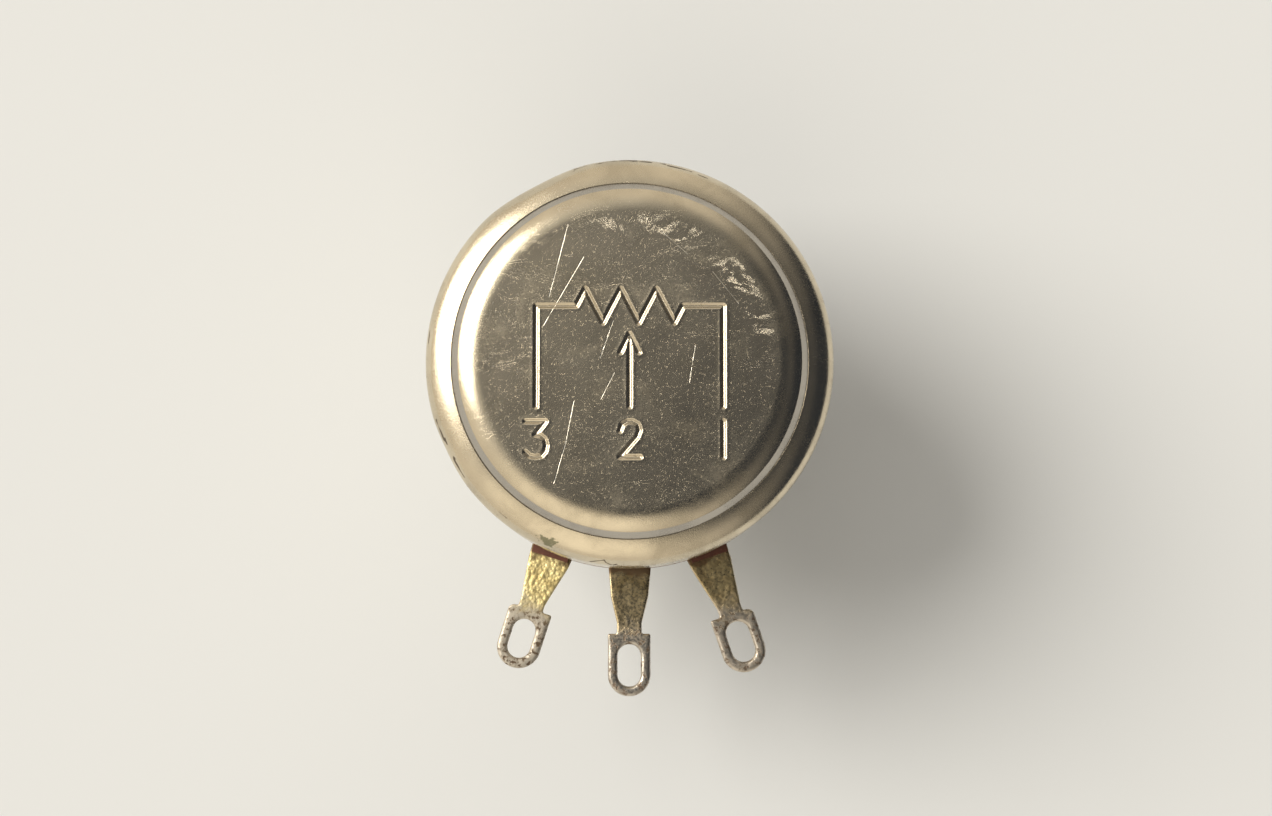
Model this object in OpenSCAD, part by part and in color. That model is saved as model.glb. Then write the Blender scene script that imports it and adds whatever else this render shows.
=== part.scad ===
// Rotary potentiometer with a moulded track, a locking bushing and three solder lugs.
// The origin is the centre of the panel seat. The shaft points to -Z, the back of the cover
// to +Z and the lugs to -Y. All lengths are in millimetres and all angles in degrees.

/* [Cover] */
// Outside diameter of the drawn cover
cover_d = 27.8; // [27:0.1:32]
// Sheet thickness of the cover
cover_wall = 0.5; // [0.35:0.05:0.6]
// From the panel seat to the ring round the raised centre
cover_depth = 13.4; // [12.8:0.1:18]
// Outside radius of the corner between side and back
corner_r = 1.5; // [1:0.1:1.8]
// Width of the narrow flat ring inside the corner
ring_w = 0.13; // [0.05:0.01:0.5]
// Height of the raised centre above that ring
centre_h = 1.2; // [0.6:0.1:1.6]
// Radius of the rounded shoulder of the raised centre
shoulder_r = 1; // [0.6:0.1:1.4]
// Slope of the side of the raised centre
centre_slope = 45; // [35:5:60]
// Radius of the fillet at the foot of the raised centre
foot_r = 0.15; // [0.05:0.05:0.3]
// Front edge of the skirt, measured from the panel seat
skirt_z = 1; // [0.8:0.1:1.3]

/* [Ears of the cover] */
// Width of an ear
ear_w = 3.6; // [2:0.1:5]
// How far an ear lies over the face plate, measured from the outside of the cover
ear_reach = 1.9; // [1.2:0.1:3]
// Outside radius of the bend of an ear
ear_bend_r = 0.8; // [0.7:0.05:1]

/* [Face plate] */
// Height of the raised panel seat in front of the plate
seat_h = 0.6; // [0.6:0.05:1]
// Width of the rim between the raised panel seat and the edge of the plate
rim_w = 4.3; // [3.8:0.1:4.8]
// Sheet thickness of the face plate
plate_t = 1; // [0.8:0.05:1.4]
// Chamfer on the front edge of the face plate
plate_edge = 0.25; // [0.2:0.05:0.4]
// Width of the locating tab
tab_w = 3.2; // [2:0.1:4]
// How far the locating tab stands in front of the panel seat
tab_h = 1.6; // [1:0.1:3]
// Outside bend radius of the locating tab
tab_bend_r = 0.9; // [0.4:0.1:0.9]
// Radius of the holes that the moulded keys fill
key_r = 1; // [0.6:0.1:1.1]
// Clearance of the locating tab in the notch of the skirt
tab_gap = 0.1; // [0.05:0.05:0.2]

/* [Bushing] */
// Outside diameter of the thread, 3/8 in
bushing_d = 9.525; // [9:0.025:10]
// Length of the bushing in front of the panel seat
bushing_len = 9.525; // [8.5:0.025:12]
// Length of the tapered collet nose
nose_len = 1.6; // [1:0.1:2.5]
// Step from the thread down to the thick end of the nose
nose_step = 0.41; // [0.3:0.01:0.5]
// Wall at the tip of the nose
nose_wall = 0.55; // [0.4:0.05:0.7]
// Width of the slits of the collet
slit_w = 0.7; // [0.4:0.1:1.2]
// Length of the slits, measured from the tip
slit_len = 5; // [3:0.1:6]
// Number of slits across the collet
slit_cuts = 2; // [1:1:3]
// Step from the thread out to the shoulder that fills the hole of the face plate
shoulder_step = 0.35; // [0.2:0.05:0.5]
// Thickness of the hexagonal flange
flange_t = 0.8; // [0.6:0.1:1]
// Radial running clearance of the shaft in the bushing
shaft_play = 0.025; // [0.015:0.005:0.08]

/* [Shaft] */
// Diameter of the shaft, 1/4 in
shaft_d = 6.35; // [6:0.01:6.4]
// Length of the shaft in front of the panel seat, 1/2 in
shaft_len = 12.7; // [12:0.1:20]
// Chamfer at the tip of the shaft
tip_chamfer = 0.35; // [0.1:0.05:0.6]
// Width of the screwdriver slot
slot_w = 1.2; // [0.8:0.1:1.6]
// Depth of the screwdriver slot
slot_depth = 1.6; // [1:0.1:1.8]
// How far the collar on the spring washer stands out of the shaft
collar_w = 1; // [0.8:0.05:1.2]
// Thickness of the collar
collar_t = 1.2; // [1:0.1:1.6]
// Step from the shaft down to its rear end, which carries the rotor
shank_step = 0.275; // [0.2:0.025:0.4]
// Depth of each of the two flats of the rear end
flat_depth = 0.6; // [0.4:0.05:0.8]
// How far the peened head stands out of the rear end
head_w = 0.5; // [0.4:0.05:0.7]
// Height of the peened head
head_h = 0.8; // [0.5:0.1:1]

/* [Washers and retaining ring] */
// Thickness of the thrust washer
thrust_t = 0.4; // [0.3:0.05:0.6]
// Width of the two washers behind the bushing
washer_w = 1.3; // [1.1:0.05:1.4]
// Thickness of the bowed spring washer
spring_t = 0.25; // [0.2:0.05:0.35]
// Height of the bowed spring washer, its thickness included
spring_h = 0.7; // [0.5:0.05:0.9]
// Thickness of the retaining ring
ring_t = 0.6; // [0.4:0.05:0.8]
// How far the retaining ring stands out of the shaft
ring_lip = 0.525; // [0.4:0.025:0.6]
// Depth of the groove that holds the retaining ring
groove_depth = 0.5; // [0.3:0.05:0.6]
// Opening angle of the retaining ring
ring_mouth = 50; // [30:5:90]
// End play of the shaft between the bushing and the retaining ring
end_play = 0.1; // [0.05:0.01:0.2]

/* [Moulded base] */
// Thickness of the base behind the face plate
base_t = 3.4; // [3:0.1:4.2]
// Gap between the base or the face plate and the inside of the cover
cover_gap = 0.1; // [0.05:0.01:0.2]
// Gap between the washers and the hole of the base
bore_gap = 0.4; // [0.3:0.05:0.5]
// Wall of the pressed step round the recess on the back of the face plate
step_wall = 1; // [0.9:0.05:1.2]
// Half of the angle of the boss that fills the terminal notch
boss_half = 31; // [30:1:34]
// Height of the terminal boss behind the face plate
boss_h = 2; // [1.7:0.1:2.4]
// How far the terminal boss stands proud of the cover
boss_proud = 0; // [0:0.05:0.3]
// Half of the angle of the stop block
block_half = 11.7; // [10:0.1:11.8]
// Height of the stop block above the track
block_h = 1.8; // [1:0.1:2.2]
// Gap between the track and the stop block
block_gap = 0.3; // [0.2:0.05:0.4]
// Height of the moulded collars above the terminals
collar_cover = 0.5; // [0.3:0.05:0.6]

/* [Track and collector] */
// Width of the track, as a share of the ring between the base's hole and the disc's edge
track_share = 0.49; // [0.4:0.01:0.52]
// Width of the collector ring, as a share of the same ring
collector_share = 0.32; // [0.26:0.01:0.34]
// Land between the base's hole and the collector ring
land_w = 0.6; // [0.4:0.05:0.8]
// Thickness of the track and of the collector ring
track_t = 0.6; // [0.3:0.1:0.8]
// Angle of the resistance track between its two ends
track_angle = 300; // [280:2:304]
// Angle of each low-resistance end
end_angle = 15; // [12:1:18]

/* [Terminals] */
// Thickness of the terminals
lug_t = 0.5; // [0.4:0.05:0.6]
// Front face of the terminals, measured from the back of the face plate
lug_z = 0.8; // [0.6:0.05:1]
// Angle between the roots of neighbouring lugs
lug_angle_step = 23.65; // [22:0.05:25]
// Lean of the left lug
left_lean_angle = 17.9; // [12:0.1:22]
// Lean of the right lug
right_lean_angle = 18.8; // [12:0.1:22]
// Length of the left lug outside the boss
left_len = 8.55; // [8:0.05:10]
// Length of the centre lug outside the boss
centre_len = 9; // [8:0.05:10]
// Length of the right lug outside the boss
right_len = 8.9; // [8:0.05:10]
// Width of a lug at its root
root_w = 3.05; // [2.6:0.05:3.2]
// Length of the parallel root outside the boss
root_len = 1; // [0.5:0.1:1.5]
// Width of the neck
neck_w = 1.72; // [1.4:0.02:2]
// Length of the parallel neck
neck_len = 0.6; // [0.3:0.1:1.2]
// Width of the eyelet end
eye_w = 3.1; // [2.8:0.05:3.4]
// Length of the eyelet end, from its shoulders to its round tip
eye_len = 4.3; // [4:0.05:5]
// Width of the oblong hole
hole_w = 1.66; // [1.4:0.02:2]
// Length of the oblong hole
hole_len = 2.9; // [2.4:0.05:3.2]
// Metal left between the hole and the tip
tip_wall = 0.76; // [0.5:0.02:0.8]
// Width of the tail inside the base
tail_w = 1.8; // [1.4:0.1:2.2]
// Width of the turned-up end of the tail
post_w = 1.2; // [0.8:0.1:1.4]
// Length of the anchor inside the base, as wide as the root
anchor_len = 1.2; // [0.8:0.1:1.6]
// How far the moulded collar at an outer lug's root stands out of the boss
root_collar = 0.35; // [0.2:0.05:0.8]
// Inset of the moulded collar from the sides of a lug
pad_inset = 0.2; // [0.1:0.05:0.3]

/* [Rotor] */
// Gap between the brush and the track
brush_gap = 0.02; // [0:0.01:0.1]
// Height of the brush's feet
foot_h = 1; // [0.9:0.1:1.4]
// Height of the body of the brush above its feet
brush_h = 1; // [0.6:0.1:1.4]
// Width of the brush
brush_w = 3; // [2:0.1:3.2]
// Inset of the brush's feet from the edges of the track and the collector
foot_inset = 0.25; // [0.2:0.05:0.4]
// Height of the bow of the leaf spring, its thickness included
leaf_h = 1; // [0.8:0.05:1.4]
// Thickness of the leaf spring
leaf_t = 0.2; // [0.1:0.05:0.3]
// Clearance of the brush in its pocket
pocket_gap = 0.1; // [0.05:0.01:0.2]
// Width of the brush carrier
carrier_w = 8.8; // [8:0.1:10]
// Height of the underside of the carrier above the track
carrier_lift = 0.8; // [0.6:0.1:0.9]
// Wall of the turned hub round the shaft's rear end
hub_wall = 1.6; // [1.2:0.1:1.7]
// Width of the lip on which the rotor disc lies
hub_lip_w = 0.4; // [0.2:0.05:0.45]
// Thickness of that lip
hub_lip_t = 0.8; // [0.5:0.1:1.2]
// Gap between the hub and the brush carrier
carrier_gap = 0.6; // [0.5:0.05:0.7]
// Gap between the rotor disc and the stop tongue
disc_gap = 0.5; // [0.3:0.05:0.6]
// Thickness of the rotor disc
disc_t = 1.6; // [1.2:0.1:2]
// Depth of the pockets in the back of the rotor disc
pocket_depth = 0.8; // [0.4:0.1:0.9]
// Number of ribs between the pockets
rib_count = 10; // [6:1:12]
// Width of a rib
rib_w = 0.9; // [0.6:0.1:1.4]
// Width of the disc's rim
disc_rim = 0.8; // [0.5:0.1:1.2]
// Width of the ring between the hub and the pockets
disc_hub_w = 1.6; // [1:0.1:2]
// Half of the angle that stays plain for the rivets and the arm of the stop plate
plain_half = 32; // [30:1:40]
// Thickness of the stop plate
stop_t = 0.8; // [0.6:0.1:1]
// Half of the angle of the stop tongue
tongue_half = 12; // [10:0.1:12]
// Gap between the tongue and the liner
tongue_gap = 0.3; // [0.2:0.05:0.4]
// Gap between the tip of the tongue and the track's plane
tongue_lift = 0.6; // [0.4:0.05:0.8]
// Width of the plate's round middle beyond the hub
stop_lip = 0.8; // [0.6:0.1:1]
// Radius of the shank of the two rivets
rivet_r = 0.6; // [0.4:0.05:0.8]
// How far a rivet's head stands out of its shank
rivet_lip = 0.42; // [0.3:0.02:0.5]
// Height of a rivet's head
rivet_head_h = 0.3; // [0.2:0.05:0.4]
// Distance of the two rivets from each other
rivet_pitch = 6.4; // [6:0.1:7]

/* [Liner] */
// Wall of the insulating liner
liner_wall = 0.55; // [0.4:0.05:0.6]
// Gap between the liner and the inside of the cover
liner_gap = 0.05; // [0.03:0.01:0.1]

/* [Hidden] */

$fn = 96;
// Small overshoot of a cut past the face that it opens
cut = 0.5;
// Fit between pieces that turn together
snug = 0.02;

// Cover: the ring plane, the top of the raised centre and the radii along the section
cover_r = cover_d / 2;
inside_r = cover_r - cover_wall;
top_z = cover_depth + centre_h;
centre_foot_r = cover_r - corner_r - ring_w;
shoulder_drop = shoulder_r * (1 - cos(centre_slope));
flat_r = centre_foot_r - shoulder_r * sin(centre_slope)
    - (centre_h - shoulder_drop) / tan(centre_slope);
// The ears lie on the front face of the plate, just behind the panel seat
ear_z = seat_h - cover_wall;
ear_angles = [42, 138, 218, 322];
ear_half = asin(ear_w / 2 / cover_r);
// The locating tab points to +X
tab_angle = 0;
// The lugs leave the cover at -Y and the brush rests at +Y
lug_angle = 270;
brush_angle = 90;

// Stack of planes from the plate to the rotor
plate_back_z = seat_h + plate_t;
plate_r = inside_r - cover_gap;
seat_r = plate_r - rim_w;
recess_r = seat_r - step_wall;
ear_tip_r = cover_r - ear_reach;
track_z = plate_back_z + base_t;
notch_z = plate_back_z + boss_h + cover_gap;
boss_r = cover_r + boss_proud;
lug_front_z = plate_back_z + lug_z;
flange_back_z = plate_t + flange_t;
washer_z = flange_back_z + thrust_t;
collar_z = washer_z + spring_h;
hub_z = collar_z + collar_t;
brush_z = track_z + brush_gap;
body_z = brush_z + foot_h;
leaf_z = body_z + brush_h;
disc_z = leaf_z + leaf_h;
disc_back_z = disc_z + disc_t;
head_z = disc_back_z + stop_t;

// Shaft, bushing and ring
shaft_r = shaft_d / 2;
bore_r = shaft_r + shaft_play;
thread_r = bushing_d / 2;
ring_back_z = -bushing_len - end_play;
ring_front_z = ring_back_z - ring_t;
groove_r = shaft_r - groove_depth;
groove_side = 0.03;
hole_r = thread_r + shoulder_step;
nose_root_r = thread_r - nose_step;
nose_tip_r = bore_r + nose_wall;
flange_r = (hole_r + recess_r) / 2;
ring_r = shaft_r + ring_lip;
collar_r = shaft_r + collar_w;
washer_r = shaft_r + snug + washer_w;
shank_r = shaft_r - shank_step;
flats_w = 2 * (shank_r - flat_depth);
head_r = shank_r + head_w;
hub_r = shank_r + hub_wall;
base_bore_r = washer_r + bore_gap;

// Keys of the base, between the ears of the cover
key_angles = [90, 195, 345];
key_circle_r = (seat_r + ear_tip_r) / 2 + seat_h / 4;

// Track, with its ends and the stop block on the lug side
track_half = track_angle / 2;
liner_r = inside_r - liner_gap;
liner_in_r = liner_r - liner_wall;
tongue_r = liner_in_r - tongue_gap;
disc_r = tongue_r - stop_t - disc_gap;
collector_r0 = base_bore_r + land_w;
collector_r1 = collector_r0 + collector_share * (disc_r - collector_r0);
track_r1 = disc_r;
track_r0 = track_r1 - track_share * (disc_r - collector_r0);
block_r0 = track_r1 + block_gap;
// The liner's rim meets the inside of the cover's corner
liner_top_z = cover_depth - corner_r
    + sqrt(pow(corner_r - cover_wall, 2) - pow(liner_r - (cover_r - corner_r), 2));

// Brush, which bridges the collector and the track
foot_in_r0 = collector_r0 + foot_inset;
foot_in_r1 = sqrt(pow(collector_r1, 2) - pow(brush_w / 2, 2)) - foot_inset / 2;
foot_out_r0 = track_r0 + foot_inset;
foot_out_r1 = sqrt(pow(track_r1, 2) - pow(brush_w / 2, 2)) - 2 * foot_inset;
pocket_w = brush_w + 2 * pocket_gap;
pocket_r0 = foot_in_r0 - pocket_gap;
pocket_r1 = foot_out_r1 + pocket_gap;
carrier_r0 = hub_r + carrier_gap;
rivet_y = (collector_r1 + track_r0) / 2;
rivet_head_r = rivet_r + rivet_lip;

// Points on an arc, from angle a0 to angle a1 in n steps
function arc(x, y, r, a0, a1, n) =
    [for (i = [0 : n]) let (a = a0 + (a1 - a0) * i / n) [x + r * cos(a), y + r * sin(a)]];

// A list of points backwards
function backwards(points) = [for (i = [len(points) - 1 : -1 : 0]) points[i]];

// Section of the cover's sheet, w inside its outer face, from the middle of the back to an ear
function cover_line(w) = concat(
    [[0, top_z - w]],
    arc(flat_r, top_z - shoulder_r, shoulder_r - w, 90, 90 - centre_slope, 6),
    arc(centre_foot_r + foot_r * tan(centre_slope / 2), cover_depth + foot_r, foot_r + w,
        270 - centre_slope, 270, 3),
    arc(cover_r - corner_r, cover_depth - corner_r, corner_r - w, 90, 0, 8),
    arc(cover_r - ear_bend_r, ear_z + ear_bend_r, ear_bend_r - w, 0, -90, 4),
    [[ear_tip_r, ear_z + w]]);

// Ring segment between two angles, two radii and two heights
module sector(a0, a1, r0, r1, z0, z1)
    rotate([0, 0, a0])
        rotate_extrude(angle = a1 - a0)
            translate([r0, z0])
                square([r1 - r0, z1 - z0]);

// Tube between two radii
module ring(r0, r1, z0, z1)
    translate([0, 0, z0])
        difference() {
            cylinder(r = r1, h = z1 - z0);
            translate([0, 0, -cut])
                cylinder(r = r0, h = z1 - z0 + 2 * cut);
        }

// Cylinder between two heights
module disc(r, z0, z1)
    translate([0, 0, z0])
        cylinder(r = r, h = z1 - z0);

// Block between two corners
module block(low, high)
    translate(low)
        cube(high - low);

// The shaft's rear end with its two flats, larger by grow all round
module flats_bar(z0, z1, grow)
    intersection() {
        disc(shank_r + grow, z0, z1);
        block([-flats_w / 2 - grow, -shank_r - 1, z0 - 1], [flats_w / 2 + grow, shank_r + 1, z1 + 1]);
    }

// Angles at which the front of the skirt is cut away between the ears
function gaps() = [for (i = [0 : len(ear_angles) - 1])
    [ear_angles[i] + ear_half,
     (i + 1 < len(ear_angles) ? ear_angles[i + 1] : ear_angles[0] + 360) - ear_half]];

module rear_cover()
    color("#b9ab8c")
        difference() {
            rotate_extrude()
                polygon(concat(cover_line(0), backwards(cover_line(cover_wall))));
            for (g = gaps())
                sector(g[0], g[1], ear_tip_r - cut, cover_r + cut, ear_z - cut, skirt_z);
            sector(lug_angle - boss_half - 1, lug_angle + boss_half + 1,
                inside_r - cut, cover_r + cut, ear_z - cut, notch_z);
            block([inside_r - cut, -tab_w / 2 - tab_gap, 0],
                [cover_r + cut, tab_w / 2 + tab_gap, plate_back_z + tab_gap]);
        }

module cover_liner()
    color("#6f5a3c")
        ring(liner_in_r, liner_r, track_z, liner_top_z);

// Section of the face plate, pressed forward to the panel seat
module plate_section()
    polygon([
        [0, 0], [seat_r - seat_h / 2, 0], [seat_r + seat_h / 2, seat_h],
        [plate_r - plate_edge, seat_h], [plate_r, seat_h + plate_edge],
        [plate_r, plate_back_z], [recess_r, plate_back_z], [recess_r, plate_t], [0, plate_t]
    ]);

// Locating tab, one piece with the plate and bent forward
module locating_tab()
    translate([0, tab_w / 2, 0])
        rotate([90, 0, 0])
            linear_extrude(tab_w)
                polygon(concat(
                    [[plate_r - 1, plate_back_z], [plate_r - 1, seat_h],
                     [cover_r - plate_t, seat_h], [cover_r - plate_t, -tab_h], [cover_r, -tab_h]],
                    arc(cover_r - tab_bend_r, plate_back_z - tab_bend_r, tab_bend_r, 0, 90, 4)));

module face_plate()
    color("#a89f8c")
        difference() {
            union() {
                rotate_extrude()
                    plate_section();
                rotate([0, 0, tab_angle])
                    locating_tab();
            }
            disc(hole_r, -cut, plate_t + cut);
            keys(seat_h - cut, plate_back_z + cut);
        }

// Moulded keys that hold the base in the holes of the face plate
module keys(z0, z1)
    for (a = key_angles)
        rotate([0, 0, a])
            translate([key_circle_r, 0, 0])
                disc(key_r, z0, z1);

module flange_hex(z0, z1)
    translate([0, 0, z0])
        cylinder(r = flange_r, h = z1 - z0, $fn = 6);

module locking_bushing()
    color("#b8b2a2")
        difference() {
            union() {
                rotate_extrude()
                    polygon([
                        [0, -bushing_len], [nose_tip_r, -bushing_len],
                        [nose_root_r, -bushing_len + nose_len], [thread_r, -bushing_len + nose_len],
                        [thread_r, 0], [hole_r, 0], [hole_r, plate_t], [0, plate_t]
                    ]);
                flange_hex(plate_t, flange_back_z);
            }
            disc(bore_r, -bushing_len - cut, flange_back_z + cut);
            for (i = [0 : slit_cuts - 1])
                rotate([0, 0, 45 + 180 / slit_cuts * i])
                    block([-slit_w / 2, -bushing_d, -bushing_len - cut],
                        [slit_w / 2, bushing_d, -bushing_len + slit_len]);
        }

// Both sides of an outline that is given as [half width, distance along the lug]
function lug_outline(half) = concat(
    [for (p = half) [p[0], -p[1]]],
    [for (p = backwards(half)) [-p[0], -p[1]]]);

// A terminal in its own frame: root at the origin, tip towards -Y, tail towards +Y
module terminal_shape(length, tail, reach_z) {
    difference() {
        union() {
            linear_extrude(lug_t)
                polygon(lug_outline([
                    [tail_w / 2, -tail], [tail_w / 2, -anchor_len], [root_w / 2, -anchor_len],
                    [root_w / 2, root_len], [neck_w / 2, length - eye_len - neck_len],
                    [neck_w / 2, length - eye_len], [eye_w / 2, length - eye_len],
                    [eye_w / 2, length - eye_w / 2]
                ]));
            translate([0, -length + eye_w / 2, 0])
                cylinder(r = eye_w / 2, h = lug_t);
        }
        for (y = [tip_wall + hole_w / 2, tip_wall + hole_len - hole_w / 2])
            translate([0, -length + y, -cut])
                cylinder(r = hole_w / 2, h = lug_t + 2 * cut);
        block([-hole_w / 2, -length + tip_wall + hole_w / 2, -cut],
            [hole_w / 2, -length + tip_wall + hole_len - hole_w / 2, lug_t + cut]);
    }
    // The end of the tail is turned up to the track or the collector ring
    block([-post_w / 2, tail - lug_t, 0], [post_w / 2, tail, reach_z]);
}

// Puts a terminal at its root, side -1 for the left one, 0 for the centre one, 1 for the right one
module at_root(side, lean)
    rotate([0, 0, side * lug_angle_step])
        translate([0, -boss_r, lug_front_z])
            rotate([0, 0, side * (lean - lug_angle_step)])
                children();

// Length of the tails, so that they end under the track and under the collector ring
outer_tail = boss_r - (track_r0 + track_r1) / 2;
centre_tail = boss_r - (collector_r0 + collector_r1) / 2;
tail_reach = track_z - track_t - lug_front_z;

module terminal_left()
    color("#c2a760")
        at_root(-1, left_lean_angle)
            terminal_shape(left_len, outer_tail, tail_reach);

module terminal_centre()
    color("#b79f68")
        at_root(0, 0)
            terminal_shape(centre_len, centre_tail, tail_reach);

module terminal_right()
    color("#ab8f5c")
        at_root(1, right_lean_angle)
            terminal_shape(right_len, outer_tail, tail_reach);

// Moulded collar round the root of a lug
module root_pad(proud)
    block([-root_w / 2 + pad_inset, -proud, -lug_z + pad_inset],
        [root_w / 2 - pad_inset, anchor_len, lug_t + collar_cover]);

module moulded_base()
    color("#5a2f20")
        difference() {
            union() {
                disc(plate_r, plate_back_z, track_z);
                disc(recess_r, plate_t, plate_back_z + cut);
                keys(seat_h, plate_back_z + cut);
                sector(lug_angle - boss_half, lug_angle + boss_half, plate_r - 1, boss_r,
                    plate_back_z, plate_back_z + boss_h);
                sector(lug_angle - block_half, lug_angle + block_half, block_r0,
                    liner_in_r - liner_gap, track_z - track_t, track_z + block_h);
                at_root(-1, left_lean_angle) root_pad(root_collar);
                at_root(1, right_lean_angle) root_pad(root_collar);
            }
            disc(base_bore_r, plate_t - cut, track_z + cut);
            flange_hex(plate_t - cut, flange_back_z);
            sector(brush_angle - track_half - end_angle, brush_angle + track_half + end_angle,
                track_r0, track_r1, track_z - track_t, track_z + cut);
            ring(collector_r0, collector_r1, track_z - track_t, track_z + cut);
            at_root(-1, left_lean_angle) terminal_shape(left_len, outer_tail, tail_reach);
            at_root(0, 0) terminal_shape(centre_len, centre_tail, tail_reach);
            at_root(1, right_lean_angle) terminal_shape(right_len, outer_tail, tail_reach);
        }

module resistance_track()
    color("#2b2826")
        sector(brush_angle - track_half, brush_angle + track_half,
            track_r0, track_r1, track_z - track_t, track_z);

// Low-resistance end of the track, side 1 on the left and -1 on the right
module track_end(side)
    color("#8d8a84")
        rotate([0, 0, side < 0 ? -track_half - end_angle : track_half])
            sector(brush_angle, brush_angle + end_angle,
                track_r0, track_r1, track_z - track_t, track_z);

module track_end_left() track_end(1);

module track_end_right() track_end(-1);

module collector_ring()
    color("#9a7a3e")
        ring(collector_r0, collector_r1, track_z - track_t, track_z);

module shaft()
    color("#c7c2b6")
        difference() {
            rotate_extrude()
                polygon(concat(
                    [[0, -shaft_len], [shaft_r - tip_chamfer, -shaft_len],
                     [shaft_r, -shaft_len + tip_chamfer],
                     [shaft_r, ring_front_z - groove_side], [groove_r, ring_front_z - groove_side],
                     [groove_r, ring_back_z + groove_side], [shaft_r, ring_back_z + groove_side],
                     [shaft_r, collar_z], [collar_r, collar_z], [collar_r, hub_z],
                     [shank_r, hub_z], [shank_r, head_z]],
                    arc(head_r - head_h, head_z, head_h, 0, 90, 4),
                    [[0, head_z + head_h]]));
            block([-slot_w / 2, -shaft_d, -shaft_len - cut],
                [slot_w / 2, shaft_d, -shaft_len + slot_depth]);
            block([flats_w / 2, -shaft_d, hub_z], [shaft_d, shaft_d, head_z]);
            block([-shaft_d, -shaft_d, hub_z], [-flats_w / 2, shaft_d, head_z]);
        }

module retaining_ring()
    color("#8f8a80")
        rotate([0, 0, brush_angle])
            sector(ring_mouth / 2, 360 - ring_mouth / 2, groove_r + snug, ring_r,
                ring_front_z, ring_back_z);

module thrust_washer()
    color("#c9a85a")
        ring(shaft_r + snug, washer_r, flange_back_z, washer_z);

// Bowed washer: a slice of a wide tube that lies across the shaft
module spring_washer() {
    bow_r = (pow(washer_r, 2) + pow(spring_h, 2) - pow(spring_t, 2)) / (2 * (spring_h - spring_t));
    color("#c08a50")
        intersection() {
            ring(shaft_r + snug, washer_r, washer_z - 1, collar_z + 1);
            translate([0, 0, collar_z - bow_r])
                rotate([0, 90, 0])
                    translate([0, 0, -washer_r - 1])
                        difference() {
                            cylinder(r = bow_r, h = 2 * washer_r + 2);
                            translate([0, 0, -1])
                                cylinder(r = bow_r - spring_t, h = 2 * washer_r + 4);
                        }
        }
}

module rotor_hub()
    color("#b59a5b")
        difference() {
            union() {
                disc(hub_r, hub_z, disc_z);
                disc(hub_r + hub_lip_w, disc_z - hub_lip_t, disc_z);
            }
            flats_bar(hub_z - cut, disc_z + cut, snug);
        }

// Ribbed disc, plain where the rivets and the arm of the stop plate lie on it
module rotor_disc()
    color("#3a2a24")
        difference() {
            disc(disc_r, disc_z, disc_back_z);
            flats_bar(disc_z - cut, disc_back_z + cut, snug);
            difference() {
                ring(hub_r + disc_hub_w, disc_r - disc_rim, disc_back_z - pocket_depth, disc_back_z + cut);
                for (i = [0 : rib_count - 1])
                    rotate([0, 0, brush_angle + 360 / rib_count * i])
                        block([0, -rib_w / 2, disc_z], [disc_r + 1, rib_w / 2, disc_back_z + 1]);
                sector(brush_angle - plain_half, brush_angle + plain_half,
                    hub_r, disc_r, disc_z, disc_back_z + 1);
            }
            rivet_shanks(rivet_r, disc_z - cut, disc_back_z + cut);
        }

// Steel plate with the tongue that is bent down to the stop block
module stop_plate()
    color("#99968e")
        difference() {
            union() {
                disc(hub_r + stop_lip, disc_back_z, head_z);
                rotate([0, 0, brush_angle - tongue_half])
                    rotate_extrude(angle = 2 * tongue_half)
                        polygon(concat(
                            [[hub_r, disc_back_z], [tongue_r - stop_t, disc_back_z],
                             [tongue_r - stop_t, track_z + tongue_lift],
                             [tongue_r, track_z + tongue_lift]],
                            arc(tongue_r - stop_t, head_z - stop_t, stop_t, 0, 90, 4),
                            [[hub_r, head_z]]));
            }
            flats_bar(disc_back_z - cut, head_z + cut, snug);
        }

module rivet_shanks(r, z0, z1)
    for (side = [-1, 1])
        translate([side * rivet_pitch / 2, rivet_y, 0])
            disc(r, z0, z1);

module carrier_rivets()
    color("#b08d57") {
        rivet_shanks(rivet_r, track_z + carrier_lift, disc_back_z);
        rivet_shanks(rivet_head_r, track_z + carrier_lift - rivet_head_h, track_z + carrier_lift);
        rivet_shanks(rivet_head_r, disc_back_z, disc_back_z + rivet_head_h);
    }

module brush_carrier()
    color("#4a3128")
        difference() {
            intersection() {
                block([-carrier_w / 2, carrier_r0, track_z + carrier_lift],
                    [carrier_w / 2, disc_r + 1, disc_z]);
                disc(disc_r, track_z, disc_z + 1);
            }
            block([-pocket_w / 2, pocket_r0, track_z], [pocket_w / 2, pocket_r1, disc_z + 1]);
            rivet_shanks(rivet_r, track_z, disc_z + 1);
        }

module contact_brush()
    color("#232323") {
        block([-brush_w / 2, foot_in_r0, body_z], [brush_w / 2, foot_out_r1, leaf_z]);
        block([-brush_w / 2, foot_in_r0, brush_z], [brush_w / 2, foot_in_r1, body_z]);
        block([-brush_w / 2, foot_out_r0, brush_z], [brush_w / 2, foot_out_r1, body_z]);
    }

// Leaf spring: its middle presses on the brush and its ends bear on the rotor disc
module brush_spring() {
    half = (foot_out_r1 - foot_in_r0) / 2;
    bow = leaf_h - leaf_t;
    bow_r = (pow(half, 2) + pow(bow, 2)) / (2 * bow);
    swing = asin(half / bow_r);
    color("#c49552")
        translate([-brush_w / 2 + 0.2, (foot_in_r0 + foot_out_r1) / 2, leaf_z + bow_r])
            rotate([90, 0, 90])
                linear_extrude(brush_w - 0.4)
                    polygon(concat(
                        arc(0, 0, bow_r, 270 - swing, 270 + swing, 12),
                        arc(0, 0, bow_r - leaf_t, 270 + swing, 270 - swing, 12)));
}

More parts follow.
